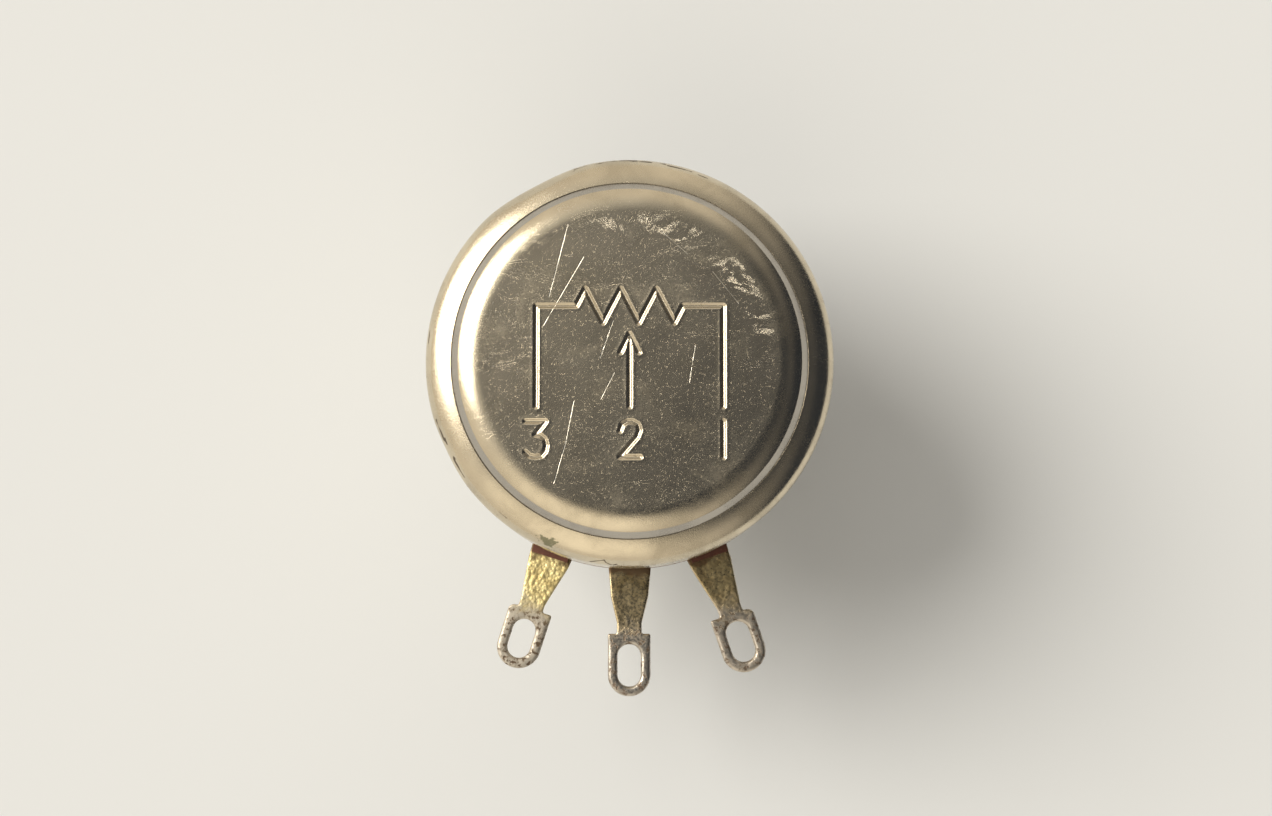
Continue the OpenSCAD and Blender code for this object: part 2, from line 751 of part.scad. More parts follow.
rear_cover();
cover_liner();
face_plate();
locking_bushing();
moulded_base();
resistance_track();
track_end_left();
track_end_right();
collector_ring();
terminal_left();
terminal_centre();
terminal_right();
shaft();
retaining_ring();
thrust_washer();
spring_washer();
rotor_hub();
rotor_disc();
stop_plate();
brush_carrier();
carrier_rivets();
contact_brush();
brush_spring();
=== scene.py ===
# %% [markdown]
# # Dressing a rotary potentiometer
# The CAD part gives every solid of the potentiometer in its true place. This notebook loads it as a
# fixed frame, sets up a camera, a floor and soft light, and then works through what the eye sees: the
# drawn cover, the three solder lugs and the threaded bushing get finer shapes of their own, and every
# other solid keeps its CAD shape and gets a finish.

# %% Load the frame
import math
from contextlib import contextmanager

import bmesh
import bpy
import numpy as np
from mathutils import Matrix, Vector, geometry, noise


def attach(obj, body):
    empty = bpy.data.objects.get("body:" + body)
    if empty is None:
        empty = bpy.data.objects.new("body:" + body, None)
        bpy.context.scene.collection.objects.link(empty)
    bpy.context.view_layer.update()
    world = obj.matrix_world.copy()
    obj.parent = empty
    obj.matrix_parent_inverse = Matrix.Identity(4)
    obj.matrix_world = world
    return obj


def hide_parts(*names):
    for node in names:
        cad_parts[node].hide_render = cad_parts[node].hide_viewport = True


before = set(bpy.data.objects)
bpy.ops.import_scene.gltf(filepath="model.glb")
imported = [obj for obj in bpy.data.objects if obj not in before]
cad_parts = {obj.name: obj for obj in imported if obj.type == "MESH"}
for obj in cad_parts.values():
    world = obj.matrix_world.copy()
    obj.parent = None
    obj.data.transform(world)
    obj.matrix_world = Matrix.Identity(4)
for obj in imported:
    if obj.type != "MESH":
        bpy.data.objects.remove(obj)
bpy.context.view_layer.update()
MM = 0.001


# %% Helpers for objects and meshes
def link_object(name, data):
    thing = bpy.data.objects.new(name, data)
    bpy.context.scene.collection.objects.link(thing)
    return thing


@contextmanager
def edited(mesh):
    """Lends the mesh as a bmesh and writes it back at the end."""
    bm = bmesh.new()
    bm.from_mesh(mesh)
    yield bm
    bm.to_mesh(mesh)
    bm.free()


# %% [markdown]
# ## Camera
# The potentiometer stands on the tip of its shaft and the camera looks almost straight down on the
# back of the cover, from 200 mm away. At that distance a long lens keeps the outline nearly flat. The
# rotation is worked out from where the middle of the cover lies in the picture, so nothing is shifted.

# %% Camera
PICTURE_W, PICTURE_H = 1272, 816
SENSOR_W, LENS_PIXELS = 36.0, 2958.0
COVER_DEPTH = 13.4


def look_at_cover(centre_pixel, elevation, distance):
    """Camera above the cover, turned so that the cover's middle falls on the given pixel."""
    tilt = math.radians(elevation)
    back = Vector((0, -math.cos(tilt), math.sin(tilt)))
    data = bpy.data.cameras.new("camera")
    data.sensor_width = SENSOR_W
    data.lens = LENS_PIXELS * SENSOR_W / PICTURE_W
    data.clip_start, data.clip_end = 0.005, 20.0
    cam = link_object("camera", data)
    cam.location = Vector((0, 0, COVER_DEPTH * MM)) + back * distance
    seen = Vector(((centre_pixel[0] - PICTURE_W / 2) / LENS_PIXELS,
                   (PICTURE_H / 2 - centre_pixel[1]) / LENS_PIXELS, -1.0)).normalized()
    straight = (-back).to_track_quat("-Z", "Y")
    cam.rotation_mode = "QUATERNION"
    cam.rotation_quaternion = straight @ seen.rotation_difference(Vector((0, 0, -1)))
    bpy.context.scene.camera = cam
    return cam


camera = look_at_cover(centre_pixel=(629.7, 360.4), elevation=85.0, distance=0.200)
print("camera at", [round(x / MM, 1) for x in camera.location], "lens", round(camera.data.lens, 1))

# %% [markdown]
# ## Floor and light
# A metal cover shows its surroundings more than its own colour, so the room matters as much as the
# material. One large soft lamp stands high on the left. The world is a dim room, light towards the
# upper left and low all round except on the right, which gives a bright left rim, a middling top and
# bottom and a dark right side. A light wall in front of the part brightens the lower edge of the
# cover. The floor is a plain pale sheet at the tip of the shaft. Seen from below, its back lets the
# camera look through, so that the front can be looked at too.

# %% Helpers for nodes
class Out:
    """Output of a node. A sum written with it adds the math nodes that work it out."""

    def __init__(self, nodes, socket):
        self.nodes, self.socket = nodes, socket

    def __add__(self, other):
        return self.nodes.math("ADD", self, other)

    def __sub__(self, other):
        return self.nodes.math("SUBTRACT", self, other)

    def __mul__(self, other):
        return self.nodes.math("MULTIPLY", self, other)

    def __truediv__(self, other):
        return self.nodes.math("DIVIDE", self, other)


class Nodes:
    """A node tree with short calls: add a node, set its sockets, link it."""

    def __init__(self, tree):
        self.tree = tree

    def put(self, node, key, value):
        if isinstance(value, Out):
            self.tree.links.new(value.socket, node.inputs[key])
        else:
            node.inputs[key].default_value = value

    def add(self, kind, settings=None, **sockets):
        node = self.tree.nodes.new(kind)
        for key, value in (settings or {}).items():
            setattr(node, key, value)
        for key, value in sockets.items():
            self.put(node, key.replace("_", " "), value)
        return node

    def get(self, kind, output=0, settings=None, **sockets):
        """One output of a new node."""
        return Out(self, self.add(kind, settings, **sockets).outputs[output])

    def group(self, tree, **sockets):
        return self.get("ShaderNodeGroup", settings={"node_tree": tree}, **sockets)

    def math(self, operation, *values, clamp=False):
        node = self.add("ShaderNodeMath", {"operation": operation, "use_clamp": clamp})
        for i, value in enumerate(values + (0.0,) * (3 - len(values))):
            self.put(node, i, value)
        return Out(self, node.outputs[0])

    def vector(self, operation, a, b=(0, 0, 0)):
        node = self.add("ShaderNodeVectorMath", {"operation": operation})
        self.put(node, 0, a)
        self.put(node, "Scale" if operation == "SCALE" else 1, b)
        is_number = operation in ("LENGTH", "DOT_PRODUCT")
        return Out(self, node.outputs["Value" if is_number else "Vector"])

    def split(self, vector):
        return [Out(self, s) for s in self.add("ShaderNodeSeparateXYZ", Vector=vector).outputs]

    def noise(self, vector, scale, detail=2.0, roughness=0.5, output=0):
        return self.get("ShaderNodeTexNoise", output, Vector=vector, Scale=scale, Detail=detail,
                        Roughness=roughness)

    def between(self, value, low, high, to_low=0.0, to_high=1.0):
        """Smooth step from low to high."""
        return self.get("ShaderNodeMapRange", 0, {"interpolation_type": "SMOOTHSTEP"}, Value=value,
                        From_Min=low, From_Max=high, To_Min=to_low, To_Max=to_high)

    def strongest(self, masks):
        total = masks[0]
        for mask in masks[1:]:
            total = self.math("MAXIMUM", total, mask)
        return total

    def blend(self, factor, a, b):
        """Colour a where factor is 0, colour b where it is 1."""
        node = self.add("ShaderNodeMix", {"data_type": "RGBA"})
        for index, value in ((0, factor), (6, a), (7, b)):
            self.put(node, index, (*value, 1.0) if isinstance(value, tuple) else value)
        return Out(self, node.outputs[2])


def empty_nodes(owner):
    owner.use_nodes = True
    owner.node_tree.nodes.clear()
    return Nodes(owner.node_tree)


# %% World, lamp and floor
FLOOR_Z = -12.7
FLOOR_HOLE_R, FLOOR_STEPS = 2.9, 48
TO_WINDOW, TO_WALL = (-0.78, 0.62, 0.0), (-0.255, -0.632, 0.731)


def dim_room():
    """Light from the upper left, low all round except on the right, and from a wall in front."""
    world = bpy.data.worlds.new("studio_room")
    bpy.context.scene.world = world
    n = empty_nodes(world)
    way = n.get("ShaderNodeTexCoord", "Generated")
    x, _, z = n.split(way)
    colour = n.blend(n.between(n.vector("DOT_PRODUCT", way, TO_WINDOW), -0.12, 0.50),
                     (0.030, 0.035, 0.046), (0.62, 0.60, 0.55))
    low = n.between(z, 0.94, 0.50) * n.between(x, 0.80, 0.20)
    colour = n.blend(low, colour, (0.80, 0.73, 0.62))
    colour = n.blend(n.between(n.vector("DOT_PRODUCT", way, TO_WALL), 0.86, 0.97), colour,
                     (1.20, 1.10, 0.92))
    n.add("ShaderNodeOutputWorld", Surface=n.get("ShaderNodeBackground", Color=colour, Strength=1.0))


def soft_lamp(name, place, width, strength, colour):
    """Distant round lamp, so that the floor is lit evenly. Width is in degrees, place in mm."""
    data = bpy.data.lights.new(name, "SUN")
    data.angle, data.energy, data.color = math.radians(width), strength, colour
    lamp = link_object(name, data)
    lamp.location = Vector(place) * MM
    lamp.rotation_euler = (-lamp.location).to_track_quat("-Z", "Y").to_euler()


def pale_floor():
    """Round sheet with a hole under the shaft's tip, so that light reaches the tip from below."""
    mesh = bpy.data.meshes.new("floor")
    angles = [2 * math.pi * i / FLOOR_STEPS for i in range(FLOOR_STEPS)]
    with edited(mesh) as bm:
        rings = [[bm.verts.new((r * math.cos(a), r * math.sin(a), 0)) for a in angles]
                 for r in (FLOOR_HOLE_R * MM, 0.05, 2.0)]
        for inner, outer in zip(rings, rings[1:]):
            for i in range(FLOOR_STEPS):
                k = (i + 1) % FLOOR_STEPS
                bm.faces.new((inner[i], outer[i], outer[k], inner[k]))
    floor = link_object("floor", mesh)
    floor.location.z = FLOOR_Z * MM - 0.00002
    paint = bpy.data.materials.new("pale_floor")
    n = empty_nodes(paint)
    board = n.get("ShaderNodeBsdfPrincipled", Base_Color=(0.74, 0.765, 0.79, 1), Roughness=0.6,
                  Specular_IOR_Level=0.25)
    seen_from_below = n.get("ShaderNodeLightPath", "Is Camera Ray") * n.get(
        "ShaderNodeNewGeometry", "Backfacing")
    mix = n.add("ShaderNodeMixShader")
    for i, value in enumerate((seen_from_below, board, n.get("ShaderNodeBsdfTransparent"))):
        n.put(mix, i, value)
    n.add("ShaderNodeOutputMaterial", Surface=Out(n, mix.outputs[0]))
    mesh.materials.append(paint)


bpy.context.scene.view_settings.view_transform = "Standard"
dim_room()
pale_floor()
soft_lamp("window", (-680, 300, 700), 39.0, 2.7, (1.0, 0.94, 0.84))
print("floor at", FLOOR_Z, "mm")

# %% [markdown]
# ## Shared effects
# Tinned brass, plated steel and phenolic look different, but they age in the same few ways: fine
# hairlines from handling, cloudy patches of tarnish, and small local spots. Each of these is a shader
# node group, built once and placed in the materials with its own numbers. A group only puts out a
# mask. The Principled shader stays in each material. All patterns read Object coordinates, turned
# into millimetres, so they stay where they are when the shaft turns.

# %% Start of a group
SOCKET_KINDS = {tuple: "Vector", float: "Float", int: "Int"}


def new_group(name, tree_kind="ShaderNodeTree", output=("Mask", "Float"), **inputs):
    """Node group with named sockets. An input is its default value, or else the name of its kind.
    Returns the helper, the output node and the inputs."""
    tree = bpy.data.node_groups.new(name, tree_kind)
    for label, value in inputs.items():
        kind = SOCKET_KINDS.get(type(value), value)
        socket = tree.interface.new_socket(label.replace("_", " "), in_out="INPUT",
                                           socket_type="NodeSocket" + kind)
        if kind != value:
            socket.default_value = value
    tree.interface.new_socket(output[0], in_out="OUTPUT", socket_type="NodeSocket" + output[1])
    n = Nodes(tree)
    given = n.add("NodeGroupInput").outputs
    return n, n.add("NodeGroupOutput"), [Out(n, given[i]) for i in range(len(inputs))]


# %% Hairlines: thin scratches in three directions
def hairlines_group():
    """Each direction is noise that is stretched along the scratch. A scratch is where the noise
    passes through its middle value, and slow noise breaks it into short lengths. The whole pattern is
    first bent by slow noise, so that no two scratches are quite parallel."""
    n, out, (place, fineness, width, amount) = new_group(
        "hairlines", Vector=(0, 0, 0), Fineness=3.0, Width=0.012, Amount=0.5)
    bend = n.vector("SUBTRACT", n.noise(place, 0.16, 1.0, output="Color"), (0.5, 0.5, 0.5))
    bent = n.vector("ADD", place, n.vector("SCALE", bend, 7.0))
    lines = []
    for turn, stretch, shift in ((1.15, 0.09, 3.1), (2.1, 0.12, 17.7), (0.2, 0.10, 41.3)):
        lay = n.get("ShaderNodeMapping", Vector=bent, Location=(shift, -shift, shift / 2),
                    Rotation=(0.3, 0.2, turn), Scale=(stretch, 1.0, 1.0))
        off = n.math("ABSOLUTE", n.noise(lay, fineness, 1.0, 0.4) - 0.5)
        line = n.math("SUBTRACT", 1.0, off / width, clamp=True)
        lines.append(line * n.between(n.noise(lay, 1.3), 0.54, 0.68))
    n.put(out, "Mask", n.math("MULTIPLY", n.strongest(lines), amount, clamp=True))
    return n.tree


# %% Clouds: soft patches of tarnish with a grainy border
def clouds_group():
    n, out, (place, size, level, softness) = new_group(
        "tarnish_clouds", Vector=(0, 0, 0), Size=4.0, Level=0.5, Softness=0.12)
    cloud = n.get("ShaderNodeTexNoise", Vector=n.vector("SCALE", place, n.math("DIVIDE", 1.0, size)),
                  Scale=1.0, Detail=5.0, Roughness=0.62, Distortion=0.4)
    n.put(out, "Mask", n.between(cloud, level - softness, level + softness))
    return n.tree


# %% Spot: one patch with a ragged border at a given place
def spot_group():
    n, out, (place, centre, squash, radius, raggedness) = new_group(
        "spot", Vector=(0, 0, 0), Centre=(0, 0, 0), Squash=(1, 1, 1), Radius=0.5, Raggedness=0.5)
    away = n.vector("LENGTH", n.vector("MULTIPLY", n.vector("SUBTRACT", place, centre), squash))
    wobble = (n.noise(place, 2.6, 3.0) - 0.5) * raggedness
    n.put(out, "Mask", n.between((away + wobble * 2.0) / radius, 1.0, 0.7))
    return n.tree


# %% Long scratch: one thin straight line between two points
def long_scratch_group():
    n, out, (place, start, end, width) = new_group(
        "long_scratch", Vector=(0, 0, 0), From=(0, 0, 0), To=(1, 0, 0), Width=0.05)
    way, away = n.vector("SUBTRACT", end, start), n.vector("SUBTRACT", place, start)
    along = n.math("DIVIDE", n.vector("DOT_PRODUCT", away, way), n.vector("DOT_PRODUCT", way, way),
                   clamp=True)
    gap = n.vector("LENGTH", n.vector("SUBTRACT", away, n.vector("SCALE", way, along)))
    width = width * n.between(n.noise(place, 1.1, 1.0), 0.35, 0.6, 0.2, 1.0)
    n.put(out, "Mask", n.math("SUBTRACT", 1.0, gap / width, clamp=True))
    return n.tree


HAIRLINES = hairlines_group()
CLOUDS = clouds_group()
SPOT = spot_group()
LONG_SCRATCH = long_scratch_group()
print("shared effects:", [t.name for t in (HAIRLINES, CLOUDS, SPOT, LONG_SCRATCH)])

# %% [markdown]
# ## Metals
# Every metal here starts from the same recipe: a base colour, clouds of tarnish that are darker and
# duller, hairlines that are brighter and smoother, and a fine grain in the bump. `metal_recipe` builds
# it and hands back its nodes, so that a piece with local marks can lay them on top.

# %% Recipe for the metals
def start_material(name):
    material = bpy.data.materials.new(name)
    n = empty_nodes(material)
    return material, n, n.vector("SCALE", n.get("ShaderNodeTexCoord", "Object"), 1 / MM)


def end_material(n, colour, roughness, height, depth, metallic=1.0):
    """Principled shader with a bump from height, which is depth millimetres high."""
    bump = n.get("ShaderNodeBump", Height=height, Strength=1.0, Distance=depth * MM)
    shader = n.get("ShaderNodeBsdfPrincipled", Base_Color=colour, Roughness=roughness,
                   Metallic=metallic, Normal=bump, Specular_IOR_Level=0.5)
    n.add("ShaderNodeOutputMaterial", Surface=shader)


def scaled(colour, times, plus=0.0):
    return tuple(min(1.0, c * times + plus) for c in colour)


def metal_recipe(name, colour, tarnish, rough=0.3, cloud_size=4.0, cloud_level=0.56, scratches=0.6,
                 fineness=3.0, grain=14.0):
    material, n, place = start_material(name)
    clouds = n.group(CLOUDS, Vector=place, Size=cloud_size, Level=cloud_level, Softness=0.18)
    lines = n.group(HAIRLINES, Vector=place, Fineness=fineness, Amount=scratches)
    fine = n.noise(place, grain, 3.0)
    tint = n.blend(n.between(n.noise(place, 0.35), 0.35, 0.65), colour, scaled(colour, 0.9))
    tint = n.blend(clouds * 0.45, tint, tarnish)
    tint = n.blend(lines * 0.5, tint, scaled(colour, 1.25))
    gloss = n.between(fine, 0.3, 0.7, rough - 0.05, rough + 0.05) + clouds * 0.12 - lines * 0.1
    return material, n, place, tint, gloss, fine - lines * 0.8


def plated_metal(*recipe, grain_depth=0.004, **more):
    material, n, _, tint, gloss, height = metal_recipe(*recipe, **more)
    end_material(n, tint, gloss, height, grain_depth)
    return material


# %% [markdown]
# ## Finish of the cover
# The back of the cover is tinned brass that has been handled for years. It keeps a warm, slightly
# yellow shine, clouded by dull patches, with long bright scratches, a worn arc of short ones near the
# edge of the raised centre, dark slivers along the rim where the tin has gone, a crack in the tin
# above the middle lug and one greenish spot low on the left.

# %% Marks on the cover, in millimetres and degrees
TIN, TIN_DULL = (0.70, 0.615, 0.465), (0.36, 0.305, 0.22)
# Long scratches: from, to, width
LONG_SCRATCHES = [
    ((-4.16, 9.13), (-5.44, 4.19), 0.05), ((-1.12, 2.57), (-1.99, 0.07), 0.045),
    ((-1.05, -0.95), (-1.93, -2.70), 0.045), ((-3.75, -2.84), (-4.29, -5.61), 0.055),
    ((-4.29, -5.61), (-5.10, -8.38), 0.055), ((4.4, 0.9), (4.0, -1.6), 0.035),
    ((-3.1, 6.9), (-5.9, 2.1), 0.025), ((2.2, 8.6), (3.9, 7.1), 0.03),
    ((5.6, 5.9), (7.3, 3.8), 0.025),
]
# Slivers on the rim where the tin has gone: from and to angle, radius and width
SLIVERS = [
    (113, 106, 13.62, 0.10), (106, 97, 13.74, 0.14), (97, 88, 13.78, 0.18), (89, 80, 13.74, 0.16),
    (79, 72, 13.66, 0.12), (70, 67, 13.60, 0.09), (171, 176, 13.74, 0.10), (197, 203, 13.72, 0.17),
    (203, 209, 13.64, 0.22), (209, 215, 13.68, 0.15), (229, 232, 13.5, 0.09),
]
# A crack in the tin of the rim, above the middle lug: angle and radius of its corners
CRACK = [(258.8, 13.82), (260.4, 13.72), (262.7, 13.58), (263.2, 13.72), (265.1, 13.85),
         (266.3, 13.77)]
CRACK_W = 0.085

# %% Section of the rim: a broad arc from its start to its end tilt, then the tighter corner
COVER_R = 13.9
RIM_START, RIM_R, RIM_TILT, RIM_END = 12.12, 3.68, math.radians(13), math.radians(33)
RIM_CORNER_R = (COVER_R - RIM_START - RIM_R * (math.sin(RIM_END) - math.sin(RIM_TILT))) / (
    1 - math.sin(RIM_END))
RIM_CORNER = (COVER_R - RIM_CORNER_R, COVER_DEPTH - RIM_CORNER_R * math.cos(RIM_END)
              - RIM_R * (math.cos(RIM_TILT) - math.cos(RIM_END)))


def rim_point(angle, radius):
    """Point on the corner of the cover at a given distance from the axis."""
    a, drop = math.radians(angle), radius - RIM_CORNER[0]
    height = RIM_CORNER[1] + math.sqrt(RIM_CORNER_R ** 2 - drop ** 2)
    return radius * math.cos(a), radius * math.sin(a), height


print("corner of the rim:", [round(x, 2) for x in (*RIM_CORNER, RIM_CORNER_R)])


# %% Material of the cover
def scratches_mask(n, place, segments):
    return n.strongest([n.group(LONG_SCRATCH, Vector=place, From=start, To=end, Width=width)
                        for start, end, width in segments])


def cover_metal():
    material, n, place, tint, gloss, height = metal_recipe(
        "tinned_brass_cover", TIN, TIN_DULL, rough=0.18, cloud_size=3.0, cloud_level=0.60,
        scratches=0.32, fineness=5.5)
    flat = n.vector("MULTIPLY", place, (1, 1, 0))
    radius = n.vector("LENGTH", flat)
    # Short scratches lie thickest in an arc near the edge of the raised centre, at the upper right
    on_ring = n.between(radius, 8.0, 9.1) * n.between(radius, 10.1, 9.7)
    on_arc = n.between(n.vector("DOT_PRODUCT", flat, (0.6, 0.8, 0)), 4.5, 8.0, 0.0, 1.2) + 0.12
    short = n.group(HAIRLINES, Vector=n.vector("ADD", flat, (31, 7, 2)), Fineness=17.0, Width=0.035,
                    Amount=1.0) * (on_ring * on_arc)
    tint = n.blend(short * 0.7, tint, (0.88, 0.82, 0.68))
    # The raised centre is grimier than the rest: grey film in patches, and dark and light specks
    on_centre = n.between(radius, 10.6, 9.8)
    film = n.group(CLOUDS, Vector=n.vector("ADD", flat, (9, 4, 0)), Size=5.5, Level=0.5, Softness=0.18)
    tint = n.blend(film * on_centre * 0.35, tint, (0.46, 0.42, 0.35))
    specks = n.noise(flat, 4.5, 4.0, 0.75)
    dark_specks = n.between(specks, 0.585, 0.66) * on_centre
    tint = n.blend(dark_specks * 0.6, tint, TIN_DULL)
    tint = n.blend(n.between(specks, 0.36, 0.30) * on_centre * 0.4, tint, (0.86, 0.80, 0.66))
    # Painted shade and reflection: a dark blue-grey band lies on the slope between the raised centre
    # and the rim
    groove = n.between(radius, 11.56, 11.68) * n.between(radius, 12.16, 12.02)
    tint = n.blend(groove * 0.55, tint, (0.30, 0.305, 0.33))
    long_ones = scratches_mask(n, flat, [((*a, 0), (*b, 0), w) for a, b, w in LONG_SCRATCHES])
    tint = n.blend(long_ones, tint, (0.92, 0.88, 0.78))
    bare = [(rim_point(a, r), rim_point(b, r), w) for a, b, r, w in SLIVERS]
    bare += [(rim_point(*a), rim_point(*b), CRACK_W) for a, b in zip(CRACK, CRACK[1:])]
    dark = n.between(scratches_mask(n, place, bare), 0.1, 0.45)
    tint = n.blend(dark * 0.85, tint, (0.075, 0.055, 0.04))
    green = n.group(SPOT, Vector=place, Centre=(-5.6, -12.2, 12.8), Squash=(0.5, 1, 1), Radius=0.42,
                    Raggedness=0.5)
    tint = n.blend(green * 0.7, tint, (0.13, 0.14, 0.07))
    # The side shows faint streaks from drawing, and the bent ears and cut edges have gone brown
    streak = n.noise(n.vector("MULTIPLY", place, (1, 1, 0.05)), 2.6, 3.0) - 0.5
    streak = streak * n.between(radius, 13.4, 13.8)
    tint = n.blend(n.between(streak, 0.02, 0.16, 0.0, 0.2), tint, TIN_DULL)
    brown = n.between(n.split(place)[2] + n.noise(place, 1.2, 4.0) * 3.0, 3.2, 1.4)
    tint = n.blend(brown * 0.55, tint, (0.27, 0.19, 0.115))
    gloss = gloss + streak * 0.35 + n.math("MAXIMUM", dark, green) * 0.3 + film * 0.05
    height = height - long_ones - short * 0.6 - dark_specks * 0.5 + streak * 0.5
    end_material(n, tint, gloss, height, 0.006)
    return material


COVER_METAL = cover_metal()
print("cover finish has", len(COVER_METAL.node_tree.nodes), "nodes")

# %% [markdown]
# ## Finish of the lugs
# The lugs are thick tinned brass. The eyelets are grey and pitted where solder was removed, and the
# necks still show yellow flux and brass. The left one carries a coarse, sparkling crust, the middle
# one is smooth and golden, and the right one is browner. One function makes all three.

# %% Materials of the lugs
def lug_metal(name, neck, neck_dark, eye, pits, crust, crust_scale, rough, contrast):
    """Neck and eye are the colours near the root and at the eyelet. Attribute along runs 0 to 1."""
    material, n, place = start_material(name)
    along, edge = (n.get("ShaderNodeAttribute", "Fac", {"attribute_name": label})
                   for label in ("along", "edge"))
    shift = n.noise(place, 0.9, 4.0)
    along = along + (shift - 0.5) * 0.35
    to_eye = n.between(along, 0.33, 0.60)
    blotch = n.group(CLOUDS, Vector=place, Size=1.3, Level=0.52, Softness=0.14)
    grains = n.get("ShaderNodeTexVoronoi", "Distance", Vector=place, Scale=crust_scale)
    warm = n.blend(n.between(grains, 0.35, 0.75) * (0.55 * contrast), n.blend(blotch, neck, neck_dark),
                   scaled(neck_dark, 0.45))
    # Pits are broad and shallow, with a dark floor, and rust-brown dirt lies round them
    pit = n.noise(place, 3.0, 3.0, 0.6)
    dirt, pit = n.between(pit, 0.45, 0.58) * to_eye, n.between(pit, 0.55, 0.62) * to_eye
    grey = n.blend(dirt * 0.8, eye, tuple(0.5 * (a + b) for a, b in zip(eye, pits)))
    tint = n.blend(to_eye, warm, n.blend(pit * 0.9, grey, pits))
    worn = n.between(edge, 0.55, 1.0) * n.between(shift, 0.42, 0.6, 0.1, 0.6)
    tint = n.blend(worn, tint, scaled(eye, 1.45))
    # Painted shade: the lug turns dark brown in the corner where it leaves the base
    root = n.between(along, 0.075, 0.02)
    tint = n.blend(root * 0.8, tint, (0.13, 0.075, 0.045))
    fine = n.noise(place, 6.0)
    height = grains * n.between(to_eye, 0.0, 1.0, -crust, -crust * 0.2) - pit * 0.35
    height = height + fine * n.between(to_eye, 0.0, 1.0, 0.03, 0.12)
    gloss = n.between(fine, 0.3, 0.7, rough - 0.06, rough + 0.1) + to_eye * 0.06
    gloss = gloss + n.math("MAXIMUM", dirt, root) * 0.16
    end_material(n, tint, gloss, height, 0.05)
    return material


LUG_METALS = {
    "terminal_left": lug_metal(
        "lug_left_crusted", (0.92, 0.80, 0.43), (0.72, 0.59, 0.28), (0.56, 0.515, 0.44),
        (0.17, 0.12, 0.08), crust=0.7, crust_scale=4.2, rough=0.48, contrast=0.6),
    "terminal_centre": lug_metal(
        "lug_centre_golden", (0.66, 0.535, 0.32), (0.49, 0.38, 0.20), (0.50, 0.46, 0.40),
        (0.20, 0.145, 0.105), crust=0.0, crust_scale=2.0, rough=0.27, contrast=0.0),
    "terminal_right": lug_metal(
        "lug_right_brown", (0.72, 0.585, 0.32), (0.50, 0.38, 0.20), (0.51, 0.46, 0.39),
        (0.18, 0.135, 0.10), crust=0.25, crust_scale=3.4, rough=0.33, contrast=0.4),
}
print("lug finishes:", [m.name for m in LUG_METALS.values()])

# %% [markdown]
# ## Turning a section round the axis
# The cover is drawn and the bushing is turned, so both follow one rule: a section line that goes round
# the Z axis. Geometry Nodes do that with Curve to Mesh. The section runs along a small circle, and its
# points are first moved in by the circle's radius, so that they land at their true distance from the
# axis. The same tree can cut a thread: in a band of heights it moves the outer points in by a wave
# that climbs one pitch per turn.

# %% Geometry Nodes tree for turned pieces
PATH_R = 1.0
THREAD_CREST, THREAD_ROOT, RUN_IN = 0.10, 0.86, 0.5


def turned_tree():
    n, out, given = new_group(
        "turned_piece", "GeometryNodeTree", ("Geometry", "Geometry"), Section="Geometry",
        Steps_Round=96, Finish="Material", Thread_Pitch=1.0, Thread_Depth=0.0, Thread_Start=0.0,
        Thread_End=0.0, Thread_Inside=1.0)
    section, steps, finish, pitch, thread_depth, thread_start, thread_end, thread_inside = given
    n.tree.is_modifier = True
    x, _, z = n.split(n.get("GeometryNodeInputPosition"))
    lay = n.get("ShaderNodeCombineXYZ", X=x - PATH_R * MM, Y=z * -1.0, Z=0.0)
    laid = n.get("GeometryNodeSetPosition", Geometry=n.get("GeometryNodeMeshToCurve", Mesh=section),
                 Position=lay)
    path = n.get("GeometryNodeCurvePrimitiveCircle", 0, {"mode": "RADIUS"}, Resolution=steps,
                 Radius=PATH_R * MM)
    swept = n.get("GeometryNodeCurveToMesh", Curve=path, Profile_Curve=laid)
    # The thread: phase runs from 0 to 1 over one pitch, and the crest is in its middle
    point = n.get("GeometryNodeInputPosition")
    x, y, z = n.split(point)
    radius = n.math("SQRT", x * x + y * y)
    turn = n.math("ARCTAN2", y, x) / (2 * math.pi)
    flank = n.math("ABSOLUTE", n.math("FRACT", z / pitch - turn) * 2.0 - 1.0)
    flank = n.get("ShaderNodeMapRange", Value=flank, From_Min=THREAD_CREST, From_Max=THREAD_ROOT)
    run_in = n.get("ShaderNodeMapRange", Value=z, From_Min=thread_end,
                   From_Max=thread_end - RUN_IN * MM)
    share = flank * thread_depth * run_in / radius
    inward = n.vector("SCALE", n.vector("MULTIPLY", point, (-1, -1, 0)), share)
    on_band = n.math("GREATER_THAN", z, thread_start) * n.math("LESS_THAN", z, thread_end)
    on_band = on_band * n.math("GREATER_THAN", radius, thread_inside)
    cut = n.get("GeometryNodeSetPosition", Geometry=swept, Selection=on_band, Offset=inward)
    whole = n.get("GeometryNodeMergeByDistance", Geometry=cut, Distance=0.0005 * MM)
    real = n.get("GeometryNodeRealizeInstances", Geometry=whole)
    n.put(out, "Geometry", n.get("GeometryNodeSetMaterial", Geometry=real, Material=finish))
    return n.tree


TURNED = turned_tree()
print("tree:", TURNED.name, "with", len(TURNED.nodes), "nodes")


# %% From a tree to a plain mesh
def keep_evaluated(thing):
    """Gives the object, as its own plain mesh, what its modifiers make of it."""
    made = bpy.data.meshes.new_from_object(
        thing.evaluated_get(bpy.context.evaluated_depsgraph_get()))
    thing.modifiers.clear()
    thing.data = made


def run_tree(thing, tree, values):
    """Sets the inputs by the sockets' identifiers."""
    modifier = thing.modifiers.new("shape", "NODES")
    modifier.node_group = tree
    for item in tree.interface.items_tree:
        if item.item_type == "SOCKET" and item.in_out == "INPUT" and item.name in values:
            modifier[item.identifier] = values[item.name]
    keep_evaluated(thing)


